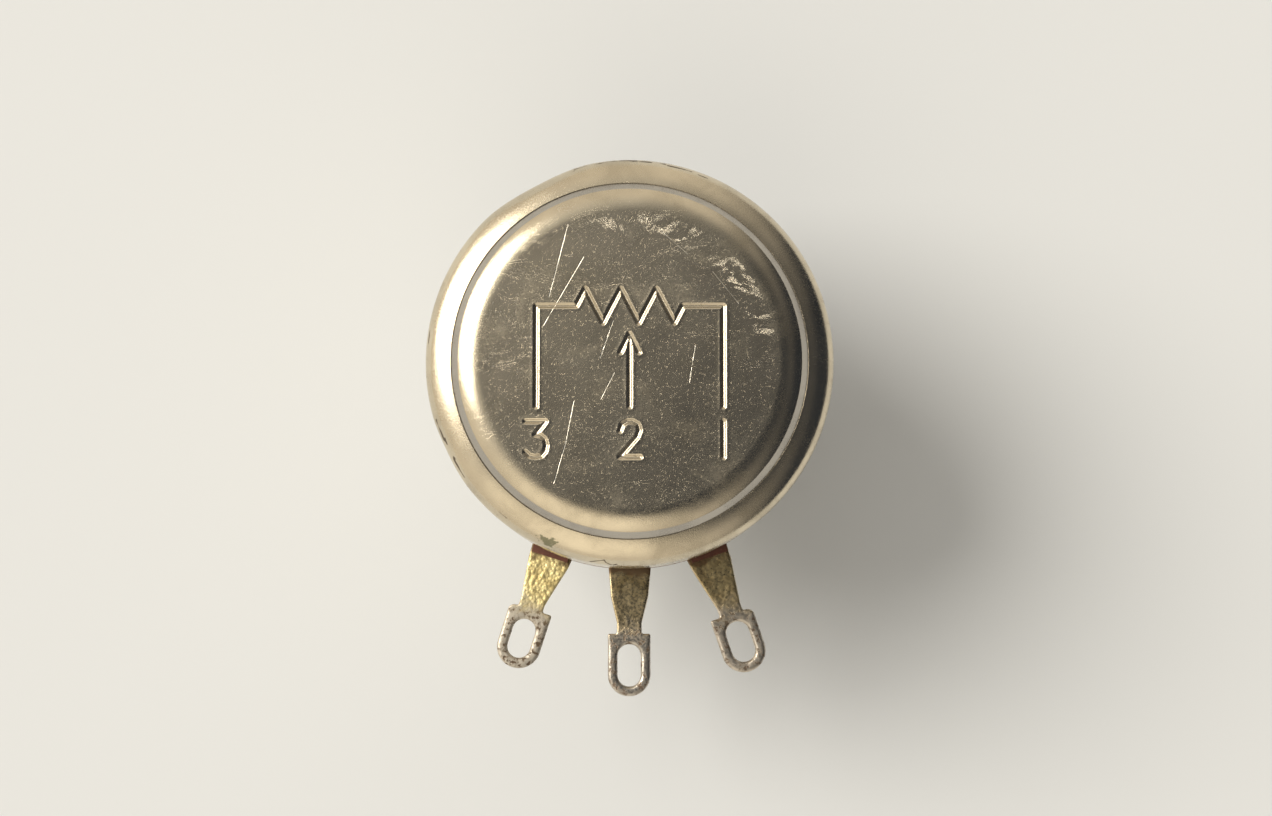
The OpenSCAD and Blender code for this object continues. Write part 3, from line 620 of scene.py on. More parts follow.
def turned(name, section, material, steps, **thread):
    """Section is a closed line of (radius, height) in millimetres. All faces are turned outwards."""
    mesh = bpy.data.meshes.new(name)
    count = len(section)
    mesh.from_pydata([(r * MM, 0, z * MM) for r, z in section],
                     [(i, (i + 1) % count) for i in range(count)], [])
    thing = link_object(name, mesh)
    values = {k.replace("_", " "): v * MM for k, v in thread.items()}
    run_tree(thing, TURNED, values | {"Steps Round": steps, "Finish": material})
    with edited(thing.data) as bm:
        bmesh.ops.remove_doubles(bm, verts=bm.verts, dist=0.0004 * MM)
        bmesh.ops.recalc_face_normals(bm, faces=bm.faces)
    return thing


def arc(x, z, radius, start, end, steps):
    return [(x + radius * math.cos(math.radians(start + (end - start) * i / steps)),
             z + radius * math.sin(math.radians(start + (end - start) * i / steps)))
            for i in range(steps + 1)]


# %% [markdown]
# ## Section of the cover
# The raised centre of the real cover isn't quite flat: it is crowned by about a tenth and rolls over
# in a soft arc before its tight shoulder. A short steep slope leads down to the rim, which is a broad
# arc too and ends in a tighter corner. These two arcs give the two broad bright bands, with a narrow
# grey one between them. From the axis out, the section goes over crown, roll, shoulder, slope, rim,
# corner, side and the bend of the ears, then back along the inner face of the sheet.

# %% Section line of the cover
WALL, TOP_Z, FOOT_R, INNER_CORNER_R = 0.5, 14.6, 12.06, 1.5
EAR_Z, EAR_BEND, EAR_TIP_R = 0.1, 0.8, 12.0
CROWN, ROLL_R, ROLL_START, ROLL_END = 0.12, 2.9, 1.4, 33.0
SHOULDER_R, SLOPE = 0.25, 54.0


def roll_start():
    """Radius at which the soft roll starts, so that the slope still meets the cover's foot."""
    a, b, c = (math.radians(x) for x in (ROLL_START, ROLL_END, SLOPE))
    drop = CROWN + ROLL_R * (math.cos(a) - math.cos(b)) + SHOULDER_R * (math.cos(b) - math.cos(c))
    slope_top = FOOT_R - (TOP_Z - drop - COVER_DEPTH) / math.tan(c)
    return slope_top - SHOULDER_R * (math.sin(c) - math.sin(b)) - ROLL_R * (math.sin(b) - math.sin(a))


NET_R = roll_start()


def crown_height(radius):
    return TOP_Z - CROWN * (radius / NET_R) ** 2


def rim_section():
    """From the foot of the slope over the broad rim, then the tighter corner, down to the side."""
    rim = arc(RIM_START - RIM_R * math.sin(RIM_TILT), COVER_DEPTH - RIM_R * math.cos(RIM_TILT), RIM_R,
              90 - math.degrees(RIM_TILT), 90 - math.degrees(RIM_END), 12)
    corner = arc(*RIM_CORNER, RIM_CORNER_R, 90 - math.degrees(RIM_END), 0, 12)
    return [(FOOT_R, COVER_DEPTH - 0.02), (RIM_START - 0.05, COVER_DEPTH - 0.03)] + rim + corner[1:]


def cover_section():
    start, end = math.radians(ROLL_START), math.radians(ROLL_END)
    soft = arc(NET_R - ROLL_R * math.sin(start), TOP_Z - CROWN - ROLL_R * math.cos(start), ROLL_R,
               90 - ROLL_START, 90 - ROLL_END, 14)
    x, z = soft[-1]
    tight = arc(x - SHOULDER_R * math.sin(end), z - SHOULDER_R * math.cos(end), SHOULDER_R,
                90 - ROLL_END, 90 - SLOPE, 4)[1:]
    side = [(COVER_R, 11.7 - 0.75 * i) for i in range(13)] + [(COVER_R, 1.4)]
    bend = COVER_R - EAR_BEND, EAR_Z + EAR_BEND
    ear = arc(*bend, EAR_BEND, 0, -90, 8) + [(EAR_TIP_R, EAR_Z)]
    inner_ear = [(EAR_TIP_R, EAR_Z + WALL)] + arc(*bend, EAR_BEND - WALL, -90, 0, 5)
    inner_corner = arc(COVER_R - INNER_CORNER_R, COVER_DEPTH - INNER_CORNER_R, INNER_CORNER_R - WALL,
                       0, 90, 8)
    inner_top = [(FOOT_R - 0.21, COVER_DEPTH - WALL), (10.95, TOP_Z - WALL - 0.2),
                 (10.4, TOP_Z - WALL - 0.1), (0.0, TOP_Z - WALL - 0.1)]
    return ([(0.0, crown_height(0))] + soft + tight + rim_section() + side + ear
            + inner_ear + inner_corner + inner_top)


SECTION = cover_section()
print("section of the cover:", len(SECTION), "points; the soft roll starts at", round(NET_R, 2), "mm")

# %% [markdown]
# ## Cutting the skirt
# The front of the skirt is cut away between the four ears, and there are notches for the terminals
# and for the locating tab. These are Boolean cuts with ring segments, as in the CAD part. The cut
# edges then get a small bevel, because sheared sheet never has a knife edge.

# %% Cutters and cuts
EARS, EAR_W, SKIRT_Z, NOTCH_Z, NOTCH_HALF = (42, 138, 218, 322), 3.6, 1.0, 3.7, 32.0
TAB_HALF, TAB_Z = 1.7, 1.7
COVER_STEPS, SEGMENT_STEP = 384, 0.9375
CUT_OUT_R, CUT_LOW = COVER_R + 0.5, -0.4
SHARP = 50.0


def segment_mesh(bm, start, end, inner, high):
    """Closed ring segment, angles in degrees and lengths in millimetres."""
    steps = max(2, int((end - start) / SEGMENT_STEP) + 1)
    rows = []
    for i in range(steps + 1):
        a = math.radians(start + (end - start) * i / steps)
        rows.append([bm.verts.new((r * math.cos(a) * MM, r * math.sin(a) * MM, z * MM)) for r, z in (
            (inner, CUT_LOW), (CUT_OUT_R, CUT_LOW), (CUT_OUT_R, high), (inner, high))])
    for a, b in zip(rows, rows[1:]):
        for k in range(4):
            bm.faces.new((a[k], a[(k + 1) % 4], b[(k + 1) % 4], b[k]))
    bm.faces.new(rows[0])
    bm.faces.new(rows[-1][::-1])


def add_block(bm, place, size):
    """Block of a given size in millimetres. The place is a matrix in metres."""
    bmesh.ops.create_cube(bm, size=1.0, matrix=place @ Matrix.Diagonal((*(s * MM for s in size), 1)))


def cut_away(thing, build):
    """Boolean difference with the closed shapes that build() puts into a bmesh."""
    cutter = link_object("cutter", bpy.data.meshes.new("cutter"))
    with edited(cutter.data) as bm:
        build(bm)
        bmesh.ops.recalc_face_normals(bm, faces=bm.faces)
    modifier = thing.modifiers.new("cut", "BOOLEAN")
    modifier.operation, modifier.solver, modifier.object = "DIFFERENCE", "EXACT", cutter
    keep_evaluated(thing)
    bpy.data.objects.remove(cutter)


def gaps_between_ears(bm):
    half = math.degrees(math.asin(EAR_W / 2 / COVER_R))
    for ear, following in zip(EARS, EARS[1:] + (EARS[0] + 360,)):
        segment_mesh(bm, ear + half, following - half, EAR_TIP_R - 0.5, SKIRT_Z)


def terminal_and_tab_notches(bm):
    segment_mesh(bm, 270 - NOTCH_HALF, 270 + NOTCH_HALF, COVER_R - 1.0, NOTCH_Z)
    add_block(bm, Matrix.Translation((COVER_R * MM, 0, TAB_Z / 2 * MM)), (2, 2 * TAB_HALF, TAB_Z))


def bevel_sheared_edges(mesh, below, width):
    with edited(mesh) as bm:
        sharp = [e for e in bm.edges if len(e.link_faces) == 2
                 and e.calc_face_angle() > math.radians(SHARP)
                 and max(v.co.z for v in e.verts) < below * MM]
        count = len(sharp)
        bmesh.ops.bevel(bm, geom=sharp, offset=width * MM, segments=2, profile=0.6, affect="EDGES",
                        clamp_overlap=True)
    return count


cover = turned("drawn_cover", SECTION, COVER_METAL, COVER_STEPS)
print("turned cover:", len(cover.data.polygons), "faces")
cut_away(cover, gaps_between_ears)
cut_away(cover, terminal_and_tab_notches)
print("bevelled", bevel_sheared_edges(cover.data, below=5.0, width=0.05), "cut edges")

# %% [markdown]
# ## Stamped marks
# A stamp presses round-bottomed grooves not quite 0.4 mm wide into the raised centre and raises a
# faint lip beside them. The marks are generic: the circuit symbol of a potentiometer, with its ends
# led down to plain terminal numbers. Seen from the back the numbers run 3, 2, 1. Light shows a groove
# by its slopes, so they are real geometry: a net of triangles that is fine near the strokes and
# coarse elsewhere, sunk by the distance to the nearest stroke.

# %% Strokes of the marks, in millimetres
DIGITS = {
    1: [(0.75, 0.0), (0.75, 2.4)],
    2: [(0.1, 1.75), (0.25, 2.2), (0.6, 2.4), (0.95, 2.4), (1.3, 2.2), (1.42, 1.8), (1.25, 1.35),
        (0.08, 0.0), (1.45, 0.0)],
    3: [(0.05, 2.4), (1.4, 2.4), (0.7, 1.5), (1.05, 1.45), (1.35, 1.2), (1.45, 0.8), (1.38, 0.4),
        (1.1, 0.08), (0.7, 0.0), (0.3, 0.08), (0.05, 0.35)],
}
DIGIT_HALF, DIGIT_Y = 0.75, -6.6
SYMBOL_Y, SYMBOL_HALF, LEAD_END, ARROW_TIP = 3.6, 6.3, -3.2, 1.7


def mark_strokes():
    peaks = [(-3.0 + 1.2 * i, SYMBOL_Y + (1.15 if i % 2 == 0 else -1.15)) for i in range(6)]
    strokes = [[(-SYMBOL_HALF, SYMBOL_Y), (-3.6, SYMBOL_Y)] + peaks
               + [(3.6, SYMBOL_Y), (SYMBOL_HALF, SYMBOL_Y)]]
    for x, top in ((-SYMBOL_HALF, SYMBOL_Y), (SYMBOL_HALF, SYMBOL_Y), (0.0, LEAD_END)):
        strokes.append([(x, top), (x, LEAD_END if x else ARROW_TIP)])
    strokes.append([(-0.62, 0.45), (0.0, ARROW_TIP), (0.62, 0.45)])
    for number, x in ((3, -SYMBOL_HALF), (2, 0.0), (1, SYMBOL_HALF)):
        strokes.append([(x - DIGIT_HALF + px, DIGIT_Y + py) for px, py in DIGITS[number]])
    return strokes


STROKES = mark_strokes()
PIECES = [(*a, *b) for line in STROKES for a, b in zip(line, line[1:])]
GROOVE_HALF, GROOVE_DEPTH = 0.19, 0.13
LIP_HEIGHT, LIP_W = 0.012, 0.05
print("marks:", len(STROKES), "strokes with", len(PIECES), "straight pieces")


# %% Distance to the nearest stroke and depth of the groove
def nearest_piece(points, pieces):
    """Distance of each point from the nearest of many straight pieces, which are x, y, x, y."""
    nearest = np.full(len(points), 1e9)
    for ax, ay, bx, by in pieces:
        way, away = np.array((bx - ax, by - ay)), points - (ax, ay)
        share = np.clip(away @ way / max(way @ way, 1e-12), 0, 1)
        nearest = np.minimum(nearest, np.hypot(*(away - share[:, None] * way).T))
    return nearest


def groove(distance):
    """Height of the sheet near a stroke: a rounded groove with a faint lip."""
    t = np.clip(distance / GROOVE_HALF, 0, 1)
    bottom = -GROOVE_DEPTH * (1 - t * t) ** 1.5
    return bottom + LIP_HEIGHT * np.exp(-((distance - GROOVE_HALF - LIP_W) / LIP_W) ** 2)


# %% Net of triangles for the raised centre
ROW = 0.866  # height of a triangle with sides of 1
OVER_HULL, INSIDE_ONLY = 0, 1
WAVE_HEIGHT, WAVES = 0.012, 0.35  # faint waves of the sheet, in mm and per mm


def centre_points():
    """Loose points: 0.065 mm apart in the grooves, 0.16 mm beside them and 0.5 mm elsewhere."""
    kept = []
    for step, near, far in ((0.065, -1, 0.29), (0.16, 0.29, 0.7), (0.5, 0.7, 99)):
        reach = NET_R - (0.1 if step < 0.1 else 0.5 * step)
        rows, across = int(reach / (step * ROW)) + 1, int(reach / step) + 1
        j, i = np.mgrid[-rows:rows + 1, -across:across + 1]
        points = np.stack(((i + 0.5 * (j % 2)) * step, j * step * ROW), -1).reshape(-1, 2)
        points = points[np.hypot(points[:, 0], points[:, 1]) < reach]
        gap = nearest_piece(points, PIECES)
        kept.append(points[(gap > near) & (gap <= far)])
    return np.concatenate(kept)


def triangles_between(outlines, loose, reach):
    """Flat net through closed outlines and loose points, over their hull or only inside them."""
    flat = [Vector(p) for line in outlines for p in line] + [Vector(p) for p in loose]
    edges, start = [], 0
    for line in outlines:
        edges += [(start + k, start + (k + 1) % len(line)) for k in range(len(line))]
        start += len(line)
    made, _, triangles, *_ = geometry.delaunay_2d_cdt(flat, edges, [], reach, 1e-7)
    return made, triangles


def put_marks_on(thing):
    """Takes off the plain middle of the cover's back and sews the net in its place."""
    with edited(thing.data) as bm:
        top = [f for f in bm.faces if all(v.co.xy.length < (NET_R + 0.002) * MM
                                          and v.co.z > (TOP_Z - 0.2) * MM for v in f.verts)]
        bmesh.ops.delete(bm, geom=top, context="FACES_ONLY")
        for v in [v for v in bm.verts if not v.link_faces]:
            bm.verts.remove(v)
        new = sorted((v for v in bm.verts if v.is_boundary), key=lambda v: math.atan2(v.co.y, v.co.x))
        rim_count = len(new)
        flat, faces = triangles_between([[v.co.xy / MM for v in new]], centre_points(), INSIDE_ONLY)
        flat = np.array([tuple(p) for p in flat])
        sunk = groove(nearest_piece(flat, PIECES))
        far = np.hypot(flat[:, 0], flat[:, 1])
        for k in range(rim_count, len(flat)):
            x, y = flat[k]
            wave = WAVE_HEIGHT * noise.noise(Vector((x * WAVES, y * WAVES, 4.0)))
            wave *= 1 - (far[k] / NET_R) ** 4
            z = min(TOP_Z, crown_height(far[k]) - 0.01 + wave + sunk[k])
            new.append(bm.verts.new((x * MM, y * MM, z * MM)))
        for face in faces:
            made = bm.faces.new([new[i] for i in face])
            made.normal_update()
            if made.normal.z < 0:
                made.normal_flip()
    return rim_count, len(faces)


print("rim points and net triangles:", put_marks_on(cover))

# %% [markdown]
# ## Dent and final shading of the cover
# At the upper left the corner took a knock: the outer face is pushed in by a fifth of a millimetre
# and the hollow fades down the side. A slighter dent lies at the lower left. Only outer points move,
# so nothing inside is touched.

# %% Dent
DENT_FROM_R, DENT_FULL = 13.0, 0.5
INNER_FACE_R, INNER_FACE_TOP = 13.45, 11.9


def dent_corner(mesh, centre, half, height, spread, depth):
    """Centre and half width are in degrees, the rest in millimetres."""
    for v in mesh.vertices:
        radius = v.co.xy.length / MM
        turn = (math.degrees(math.atan2(v.co.y, v.co.x)) - centre + 180) % 360 - 180
        on_inner_face = radius < INNER_FACE_R and v.co.z < INNER_FACE_TOP * MM
        if radius < DENT_FROM_R or abs(turn) > half or on_inner_face:
            continue
        across = math.cos(turn / half * math.pi / 2) ** 2
        down = math.exp(-((v.co.z / MM - height) / spread) ** 2)
        facing = min(1.0, (radius - DENT_FROM_R) / DENT_FULL)
        v.co.xy *= 1 - depth * across * down * facing / radius


def shade(mesh, angle):
    mesh.shade_smooth()
    mesh.set_sharp_from_angle(angle=math.radians(angle))


dent_corner(cover.data, centre=118.0, half=19.0, height=12.0, spread=3.2, depth=0.20)
dent_corner(cover.data, centre=205.0, half=12.0, height=12.4, spread=2.0, depth=0.08)
shade(cover.data, 38.0)
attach(cover, "housing")
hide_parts("rear_cover")
print("cover:", len(cover.data.vertices), "points")

# %% [markdown]
# ## Solder lugs
# A lug is punched from half-millimetre sheet, so its outline has crisp shoulders, but tumbling and
# solder round its edges. Each lug is built from its outline and its oblong hole: rings of points round
# the rim first, for a rounded edge, then a net of triangles for the flat faces. The faces are lifted
# by noise, which gives the pitted eyelets and the crusted neck of the left lug, and two attributes
# tell the material how far along the lug a point is and how close to an edge.

# %% Outline helpers
def round_corners(points, radii, steps=5):
    """Closed outline whose corners are rounded by the given radii. Radius 0 leaves a corner."""
    out = []
    for i, (p, radius) in enumerate(zip(points, radii)):
        p = Vector(p)
        if radius == 0:
            out.append(p)
            continue
        before = (Vector(points[i - 1]) - p).normalized()
        after = (Vector(points[(i + 1) % len(points)]) - p).normalized()
        half = before.angle(after) / 2
        reach = radius / math.tan(half)
        middle = p + (before + after).normalized() * (radius / math.sin(half))
        first, last = p + before * reach - middle, p + after * reach - middle
        sweep = first.angle_signed(last)
        out += [middle + Matrix.Rotation(-sweep * k / steps, 2) @ first for k in range(steps + 1)]
    return out


def sides(line):
    return zip(line, line[1:] + line[:1])


def resample(points, step):
    """The same closed outline with points no further apart than step."""
    out = []
    for a, b in sides(points):
        pieces = max(1, math.ceil((b - a).length / step))
        out += [a.lerp(b, k / pieces) for k in range(pieces)]
    return [p for i, p in enumerate(out) if (p - out[i - 1]).length > 1e-4]


def inset(points, gaps):
    """Every point moved by its own gap towards the left of the way round, square to the outline."""
    out = []
    for i, (p, gap) in enumerate(zip(points, gaps)):
        a = (p - points[i - 1]).normalized()
        b = (points[(i + 1) % len(points)] - p).normalized()
        side = Vector((-(a + b).y, (a + b).x)).normalized()
        out.append(p + side * gap / max(0.6, side.dot(Vector((-a.y, a.x)))))
    return out


def inside(points, outlines):
    """Which points lie inside the first closed outline and outside the others."""
    x, y = points[:, 0], points[:, 1]
    hit = np.zeros(len(points), bool)
    for a, b in (pair for line in outlines for pair in sides(line)):
        if a.y != b.y:
            hit ^= ((a.y > y) != (b.y > y)) & (x < (b.x - a.x) * (y - a.y) / (b.y - a.y) + a.x)
    return hit


# %% Punched plate with rounded edges
EDGE_STEPS = 4
NET_STEP, EDGE_FADE = 0.13, 0.25


def punched_plate(outlines, low, high, edge_r, relief):
    """Outlines: the rim, counter-clockwise, then holes, clockwise. edge_r gives the radius of the
    rounded edge and relief the lift of both faces at (x, y). Returns points in millimetres, faces, and
    for each point how close to the edge it is."""
    rows, faces, points, near = [], [], [], []
    for line in outlines:
        rings, radii = [], [edge_r(*p) for p in line]
        for side in (1, -1):
            for k in range(EDGE_STEPS + 1):
                a = math.pi / 2 * k / EDGE_STEPS
                rings.append(range(len(points), len(points) + len(line)))
                for p, r in zip(inset(line, [r * (1 - math.cos(a)) for r in radii]), radii):
                    z = (high - r + r * math.sin(a)) if side > 0 else (low + r - r * math.sin(a))
                    points.append((p.x, p.y, z + side * relief(p.x, p.y) * math.sin(a) ** 2))
                    near.append(1.0 - 0.6 * (k / EDGE_STEPS) ** 2)
        top, under = rings[:EDGE_STEPS + 1], rings[EDGE_STEPS + 1:]
        for stack, flip in ((top, False), (under, True), ([under[0], top[0]], False)):
            for r0, r1 in zip(stack, stack[1:]):
                for i in range(len(line)):
                    k = (i + 1) % len(line)
                    quad = (r0[i], r0[k], r1[k], r1[i])
                    faces.append(quad[::-1] if flip else quad)
        rows.append((top[-1], under[-1]))
    borders = [[Vector(points[i][:2]) for i in top] for top, _ in rows]
    low_x, high_x = (pick(p.x for p in borders[0]) for pick in (min, max))
    low_y, high_y = (pick(p.y for p in borders[0]) for pick in (min, max))
    j, i = np.mgrid[0:int((high_y - low_y) / (NET_STEP * ROW)) + 2,
                    0:int((high_x - low_x) / NET_STEP) + 2]
    loose = np.stack(((i + 0.5 * (j % 2)) * NET_STEP + low_x, j * NET_STEP * ROW + low_y),
                     -1).reshape(-1, 2)
    gap = nearest_piece(loose, [(*a, *b) for line in borders for a, b in sides(line)])
    keep = inside(loose, borders) & (gap > 0.6 * NET_STEP)
    loose, gap = loose[keep], gap[keep]
    flat, triangles = triangles_between(borders, loose, OVER_HULL)
    middles = np.array([sum((flat[k] for k in t), Vector((0, 0))) / 3 for t in triangles])
    keep = inside(middles, borders)
    for side in (0, 1):
        ids = [k for pair in rows for k in pair[side]]
        for p, g in zip(loose, gap):
            ids.append(len(points))
            points.append((*p, high + relief(*p) if side == 0 else low - relief(*p)))
            near.append(0.4 * max(0.0, 1 - g / EDGE_FADE))
        for t in (t for t, good in zip(triangles, keep) if good):
            a, b, c = (flat[k] for k in t)
            face = [ids[k] for k in t]
            faces.append(face if ((b - a).cross(c - a) > 0) == (side == 0) else face[::-1])
    return points, faces, near


# %% [markdown]
# The photograph shows that the three lugs aren't twins. The neck of each outer lug is straighter on
# its outer side, the middle lug narrows in two steps, the shoulders are rounded by different amounts,
# and the outer eyelets sway a little outwards. Each lug is therefore a short table: half widths to
# the left and right at distances from the root, then the eyelet.

# %% Sizes of the three lugs, in millimetres and degrees
BOSS_R, LUG_LOW, LUG_HIGH, POST_TOP = 13.9, 2.4, 2.9, 4.38
ROOT_TURN = 23.65
LUGS = {
    "terminal_left": dict(
        side=-1, lean=17.9, length=8.55, tail=4.1, sway=-0.12, bow=1,
        root=[(1.475, 1.45, 1.65), (0.45, 1.45, 1.62), (-0.75, 1.40, 1.50), (-3.70, 0.92, 0.86)],
        eye=(3.10, 4.30), shoulders=(0.45, 0.14), hole=(1.62, 2.80), tip_wall=0.74,
        crust=0.034, pits=0.016, swell=0.014),
    "terminal_centre": dict(
        side=0, lean=0.0, length=9.0, tail=7.47, sway=-0.04, bow=-1,
        root=[(1.475, 1.50, 1.50), (0.0, 1.49, 1.49), (-1.95, 1.33, 1.33), (-3.80, 0.87, 0.89)],
        eye=(3.02, 4.42), shoulders=(0.13, 0.14), hole=(1.64, 2.98), tip_wall=0.70,
        crust=0.0, pits=0.009, swell=0.022),
    "terminal_right": dict(
        side=1, lean=18.8, length=8.9, tail=4.1, sway=0.12, bow=0.6,
        root=[(1.475, 1.68, 1.42), (0.3, 1.66, 1.42), (-0.9, 1.50, 1.38), (-4.05, 0.84, 0.86)],
        eye=(3.12, 4.25), shoulders=(0.14, 0.52), hole=(1.66, 2.92), tip_wall=0.74,
        crust=0.012, pits=0.018, swell=0.018),
}
TAIL_HALF, TAIL_START = 0.9, 1.2
NECK_ROUND, NECK_FOOT_ROUND, SHOULDER_FOOT_ROUND = 0.8, 0.4, 0.16
OUTLINE_STEP = 0.14


def lug_outlines(root, eye, shoulders, hole, tip_wall, length, tail, **_):
    """Rim and hole of a lug in its own frame: root at 0, tip at y = -length."""
    half, shoulder = eye[0] / 2, -(length - eye[1])
    right = [(r, y) for y, _, r in root]
    left = [(-l, y) for y, l, _ in root]
    tip_y = -length + half
    neck_radii = [NECK_ROUND] * (len(root) - 2) + [NECK_FOOT_ROUND]
    tip = arc(0, tip_y, half, 190, 350, 16)
    rim = [(-TAIL_HALF, tail), (-TAIL_HALF, TAIL_START), (left[0][0], TAIL_START)] + left[1:]
    rim += [(left[-1][0], shoulder), (-half, shoulder), (-half, tip_y)] + tip
    rim += [(half, tip_y), (half, shoulder), (right[-1][0], shoulder)] + right[:0:-1]
    rim += [(right[0][0], TAIL_START), (TAIL_HALF, TAIL_START), (TAIL_HALF, tail)]
    radii = [0, 0, 0] + neck_radii + [SHOULDER_FOOT_ROUND, shoulders[0], 0] + [0] * len(tip)
    radii += [0, shoulders[1], SHOULDER_FOOT_ROUND] + neck_radii[::-1] + [0, 0, 0]
    r, low_y = hole[0] / 2, -length + tip_wall + hole[0] / 2
    high_y = -length + tip_wall + hole[1] - hole[0] / 2
    ring = arc(0, low_y, r, 0, -180, 15) + arc(0, high_y, r, 180, 0, 15)
    return [resample(round_corners(rim, radii), OUTLINE_STEP),
            resample([Vector(p) for p in ring], OUTLINE_STEP)]


# %% Build the lugs
HIDDEN_EDGE_R, NECK_EDGE_R, LOOP_EDGE_R = 0.04, 0.12, 0.23
BOW_DEPTH = 0.10


def clamped(x):
    return min(1.0, max(0.0, x))


def eased(x):
    return clamped(x) ** 2 * (3 - 2 * clamped(x))


def build_lug(name, seed):
    sizes = LUGS[name]
    length, side = sizes["length"], sizes["side"]
    shoulder = length - sizes["eye"][1]

    def edge_r(x, y):
        """The loop is as round as wire, the neck crisper, and what the base hides nearly sharp."""
        share = eased((-y - shoulder - 0.25) / 0.5)
        return HIDDEN_EDGE_R if y > 0.5 else NECK_EDGE_R + (LOOP_EDGE_R - NECK_EDGE_R) * share

    def relief(x, y):
        outside = clamped((-y - 0.25) / 0.5)
        if outside == 0.0:
            return 0.0
        at = Vector((x, y, seed))
        neck = clamped((shoulder + 0.3 + y) / 1.2)
        grains = noise.noise(at * 4.2) + 0.5 * noise.noise(at * 9.0)
        swell = noise.noise(at * 1.3)
        pits = min(0.0, noise.noise(at * 2.8) + 0.5 * noise.noise(at * 6.5) + 0.05)
        return outside * (sizes["crust"] * neck * grains + sizes["swell"] * (0.3 + 0.7 * neck) * swell
                          + sizes["pits"] * (1.0 - 0.6 * neck) * pits * 1.8)

    points, faces, near = punched_plate(lug_outlines(**sizes), LUG_LOW, LUG_HIGH, edge_r, relief)
    to_root = (Matrix.Rotation(math.radians(side * ROOT_TURN), 4, "Z")
               @ Matrix.Translation((0, -BOSS_R, 0))
               @ Matrix.Rotation(math.radians(side * (sizes["lean"] - ROOT_TURN)), 4, "Z"))
    placed = []
    for x, y, z in points:
        bow = BOW_DEPTH * max(0.0, -y - 0.5) ** 2 / length ** 2 * sizes["bow"]
        placed.append(to_root @ Vector((x + sizes["sway"] * eased(-y / shoulder), y, z + bow)) * MM)
    mesh = bpy.data.meshes.new(name)
    mesh.from_pydata(placed, [], faces)
    for label, values in (("edge", near), ("along", [max(0.0, -p[1]) / length for p in points])):
        mesh.attributes.new(label, "FLOAT", "POINT").data.foreach_set("value", values)
    # The tail ends in a post, turned up to the track or to the collector ring
    post = to_root @ Matrix.Translation((0, sizes["tail"] - 0.27, (LUG_HIGH + POST_TOP) / 2 - 0.1))
    post.translation *= MM
    with edited(mesh) as bm:
        add_block(bm, post, (1.2, 0.5, POST_TOP - LUG_HIGH + 0.2))
    mesh.materials.append(LUG_METALS[name])
    shade(mesh, 50.0)
    lug = link_object(name.replace("terminal", "solder_lug"), mesh)
    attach(lug, "housing")
    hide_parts(name)
    return lug


for seed, name in enumerate(LUGS):
    lug = build_lug(name, 3.7 + 11 * seed)
    print(lug.name, len(lug.data.polygons), "faces")

# %% [markdown]
# ## Bushing
# The bushing carries a 3/8-32 thread, so its crests are 0.79 mm apart. The tree that turned the cover
# turns it too: the section has twelve points per pitch along the thread, and the thread inputs move
# them in by a wave that climbs one pitch per turn. The crests stay at the CAD solid's radius. Two
# saw cuts across the tapered nose make the collet that a lock nut squeezes on to the shaft.

# %% Material of the bushing and turned section
PLATED = plated_metal("nickel_plated_bushing", (0.60, 0.575, 0.51), (0.36, 0.32, 0.26), rough=0.26,
                      cloud_size=2.6, cloud_level=0.6, scratches=0.5, fineness=4.0, grain=9.0,
                      grain_depth=0.0012)
THREAD_R, BUSHING_LEN, NOSE_LEN, BORE_R = 4.7625, 9.525, 1.6, 3.2
NOSE_END_R, NOSE_START_R, EASE = 3.75, 4.3525, 0.07
SHOULDER_OUT_R, FLANGE_R, FLANGE_LOW, FLANGE_HIGH = 5.1125, 5.67, 1.0, 1.8
PITCH, POINTS_PER_PITCH = 25.4 / 32, 12
SLIT_W, SLIT_DEPTH = 0.7, 5.0


def bushing_section():
    start, end = -BUSHING_LEN + NOSE_LEN, 0.0
    count = round((end - start) / PITCH * POINTS_PER_PITCH)
    thread = [(THREAD_R, start + (end - start) * i / count) for i in range(count + 1)]
    nose = [(BORE_R + 0.12, -BUSHING_LEN), (NOSE_END_R - EASE, -BUSHING_LEN),
            (NOSE_END_R, -BUSHING_LEN + EASE), (NOSE_START_R, start)]
    return nose + thread + [
        (SHOULDER_OUT_R, 0.0), (SHOULDER_OUT_R, FLANGE_LOW), (FLANGE_R, FLANGE_LOW),
        (FLANGE_R, FLANGE_HIGH), (BORE_R, FLANGE_HIGH), (BORE_R, -BUSHING_LEN + 0.12)]


def cut_slit(thing, angle):
    low, high = -BUSHING_LEN - 1.0, -BUSHING_LEN + SLIT_DEPTH
    place = (Matrix.Rotation(math.radians(angle), 4, "Z")
             @ Matrix.Translation((0, 0, (low + high) / 2 * MM)))
    cut_away(thing, lambda bm: add_block(bm, place, (SLIT_W, 12, high - low)))


bushing = turned("threaded_bushing", bushing_section(), PLATED, 96, Thread_Pitch=PITCH,
                 Thread_Depth=0.40, Thread_Start=-BUSHING_LEN + NOSE_LEN - 0.01, Thread_End=-0.02,
                 Thread_Inside=4.6)
for angle in (45, 135):
    cut_slit(bushing, angle)
shade(bushing.data, 40.0)
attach(bushing, "housing")
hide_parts("locking_bushing")
print("bushing:", len(bushing.data.polygons), "faces")

# %% [markdown]
# ## Moulded pieces, liner and track
# The base is brown phenolic: a dark red-brown with a mottle of wood flour, matt on the outside. The
# same recipe, darker, makes the rotor disc and the brush carrier. The track, its ends and the brush
# are pressed carbon, and the liner is vulcanised fibre with the direction of its sheet.

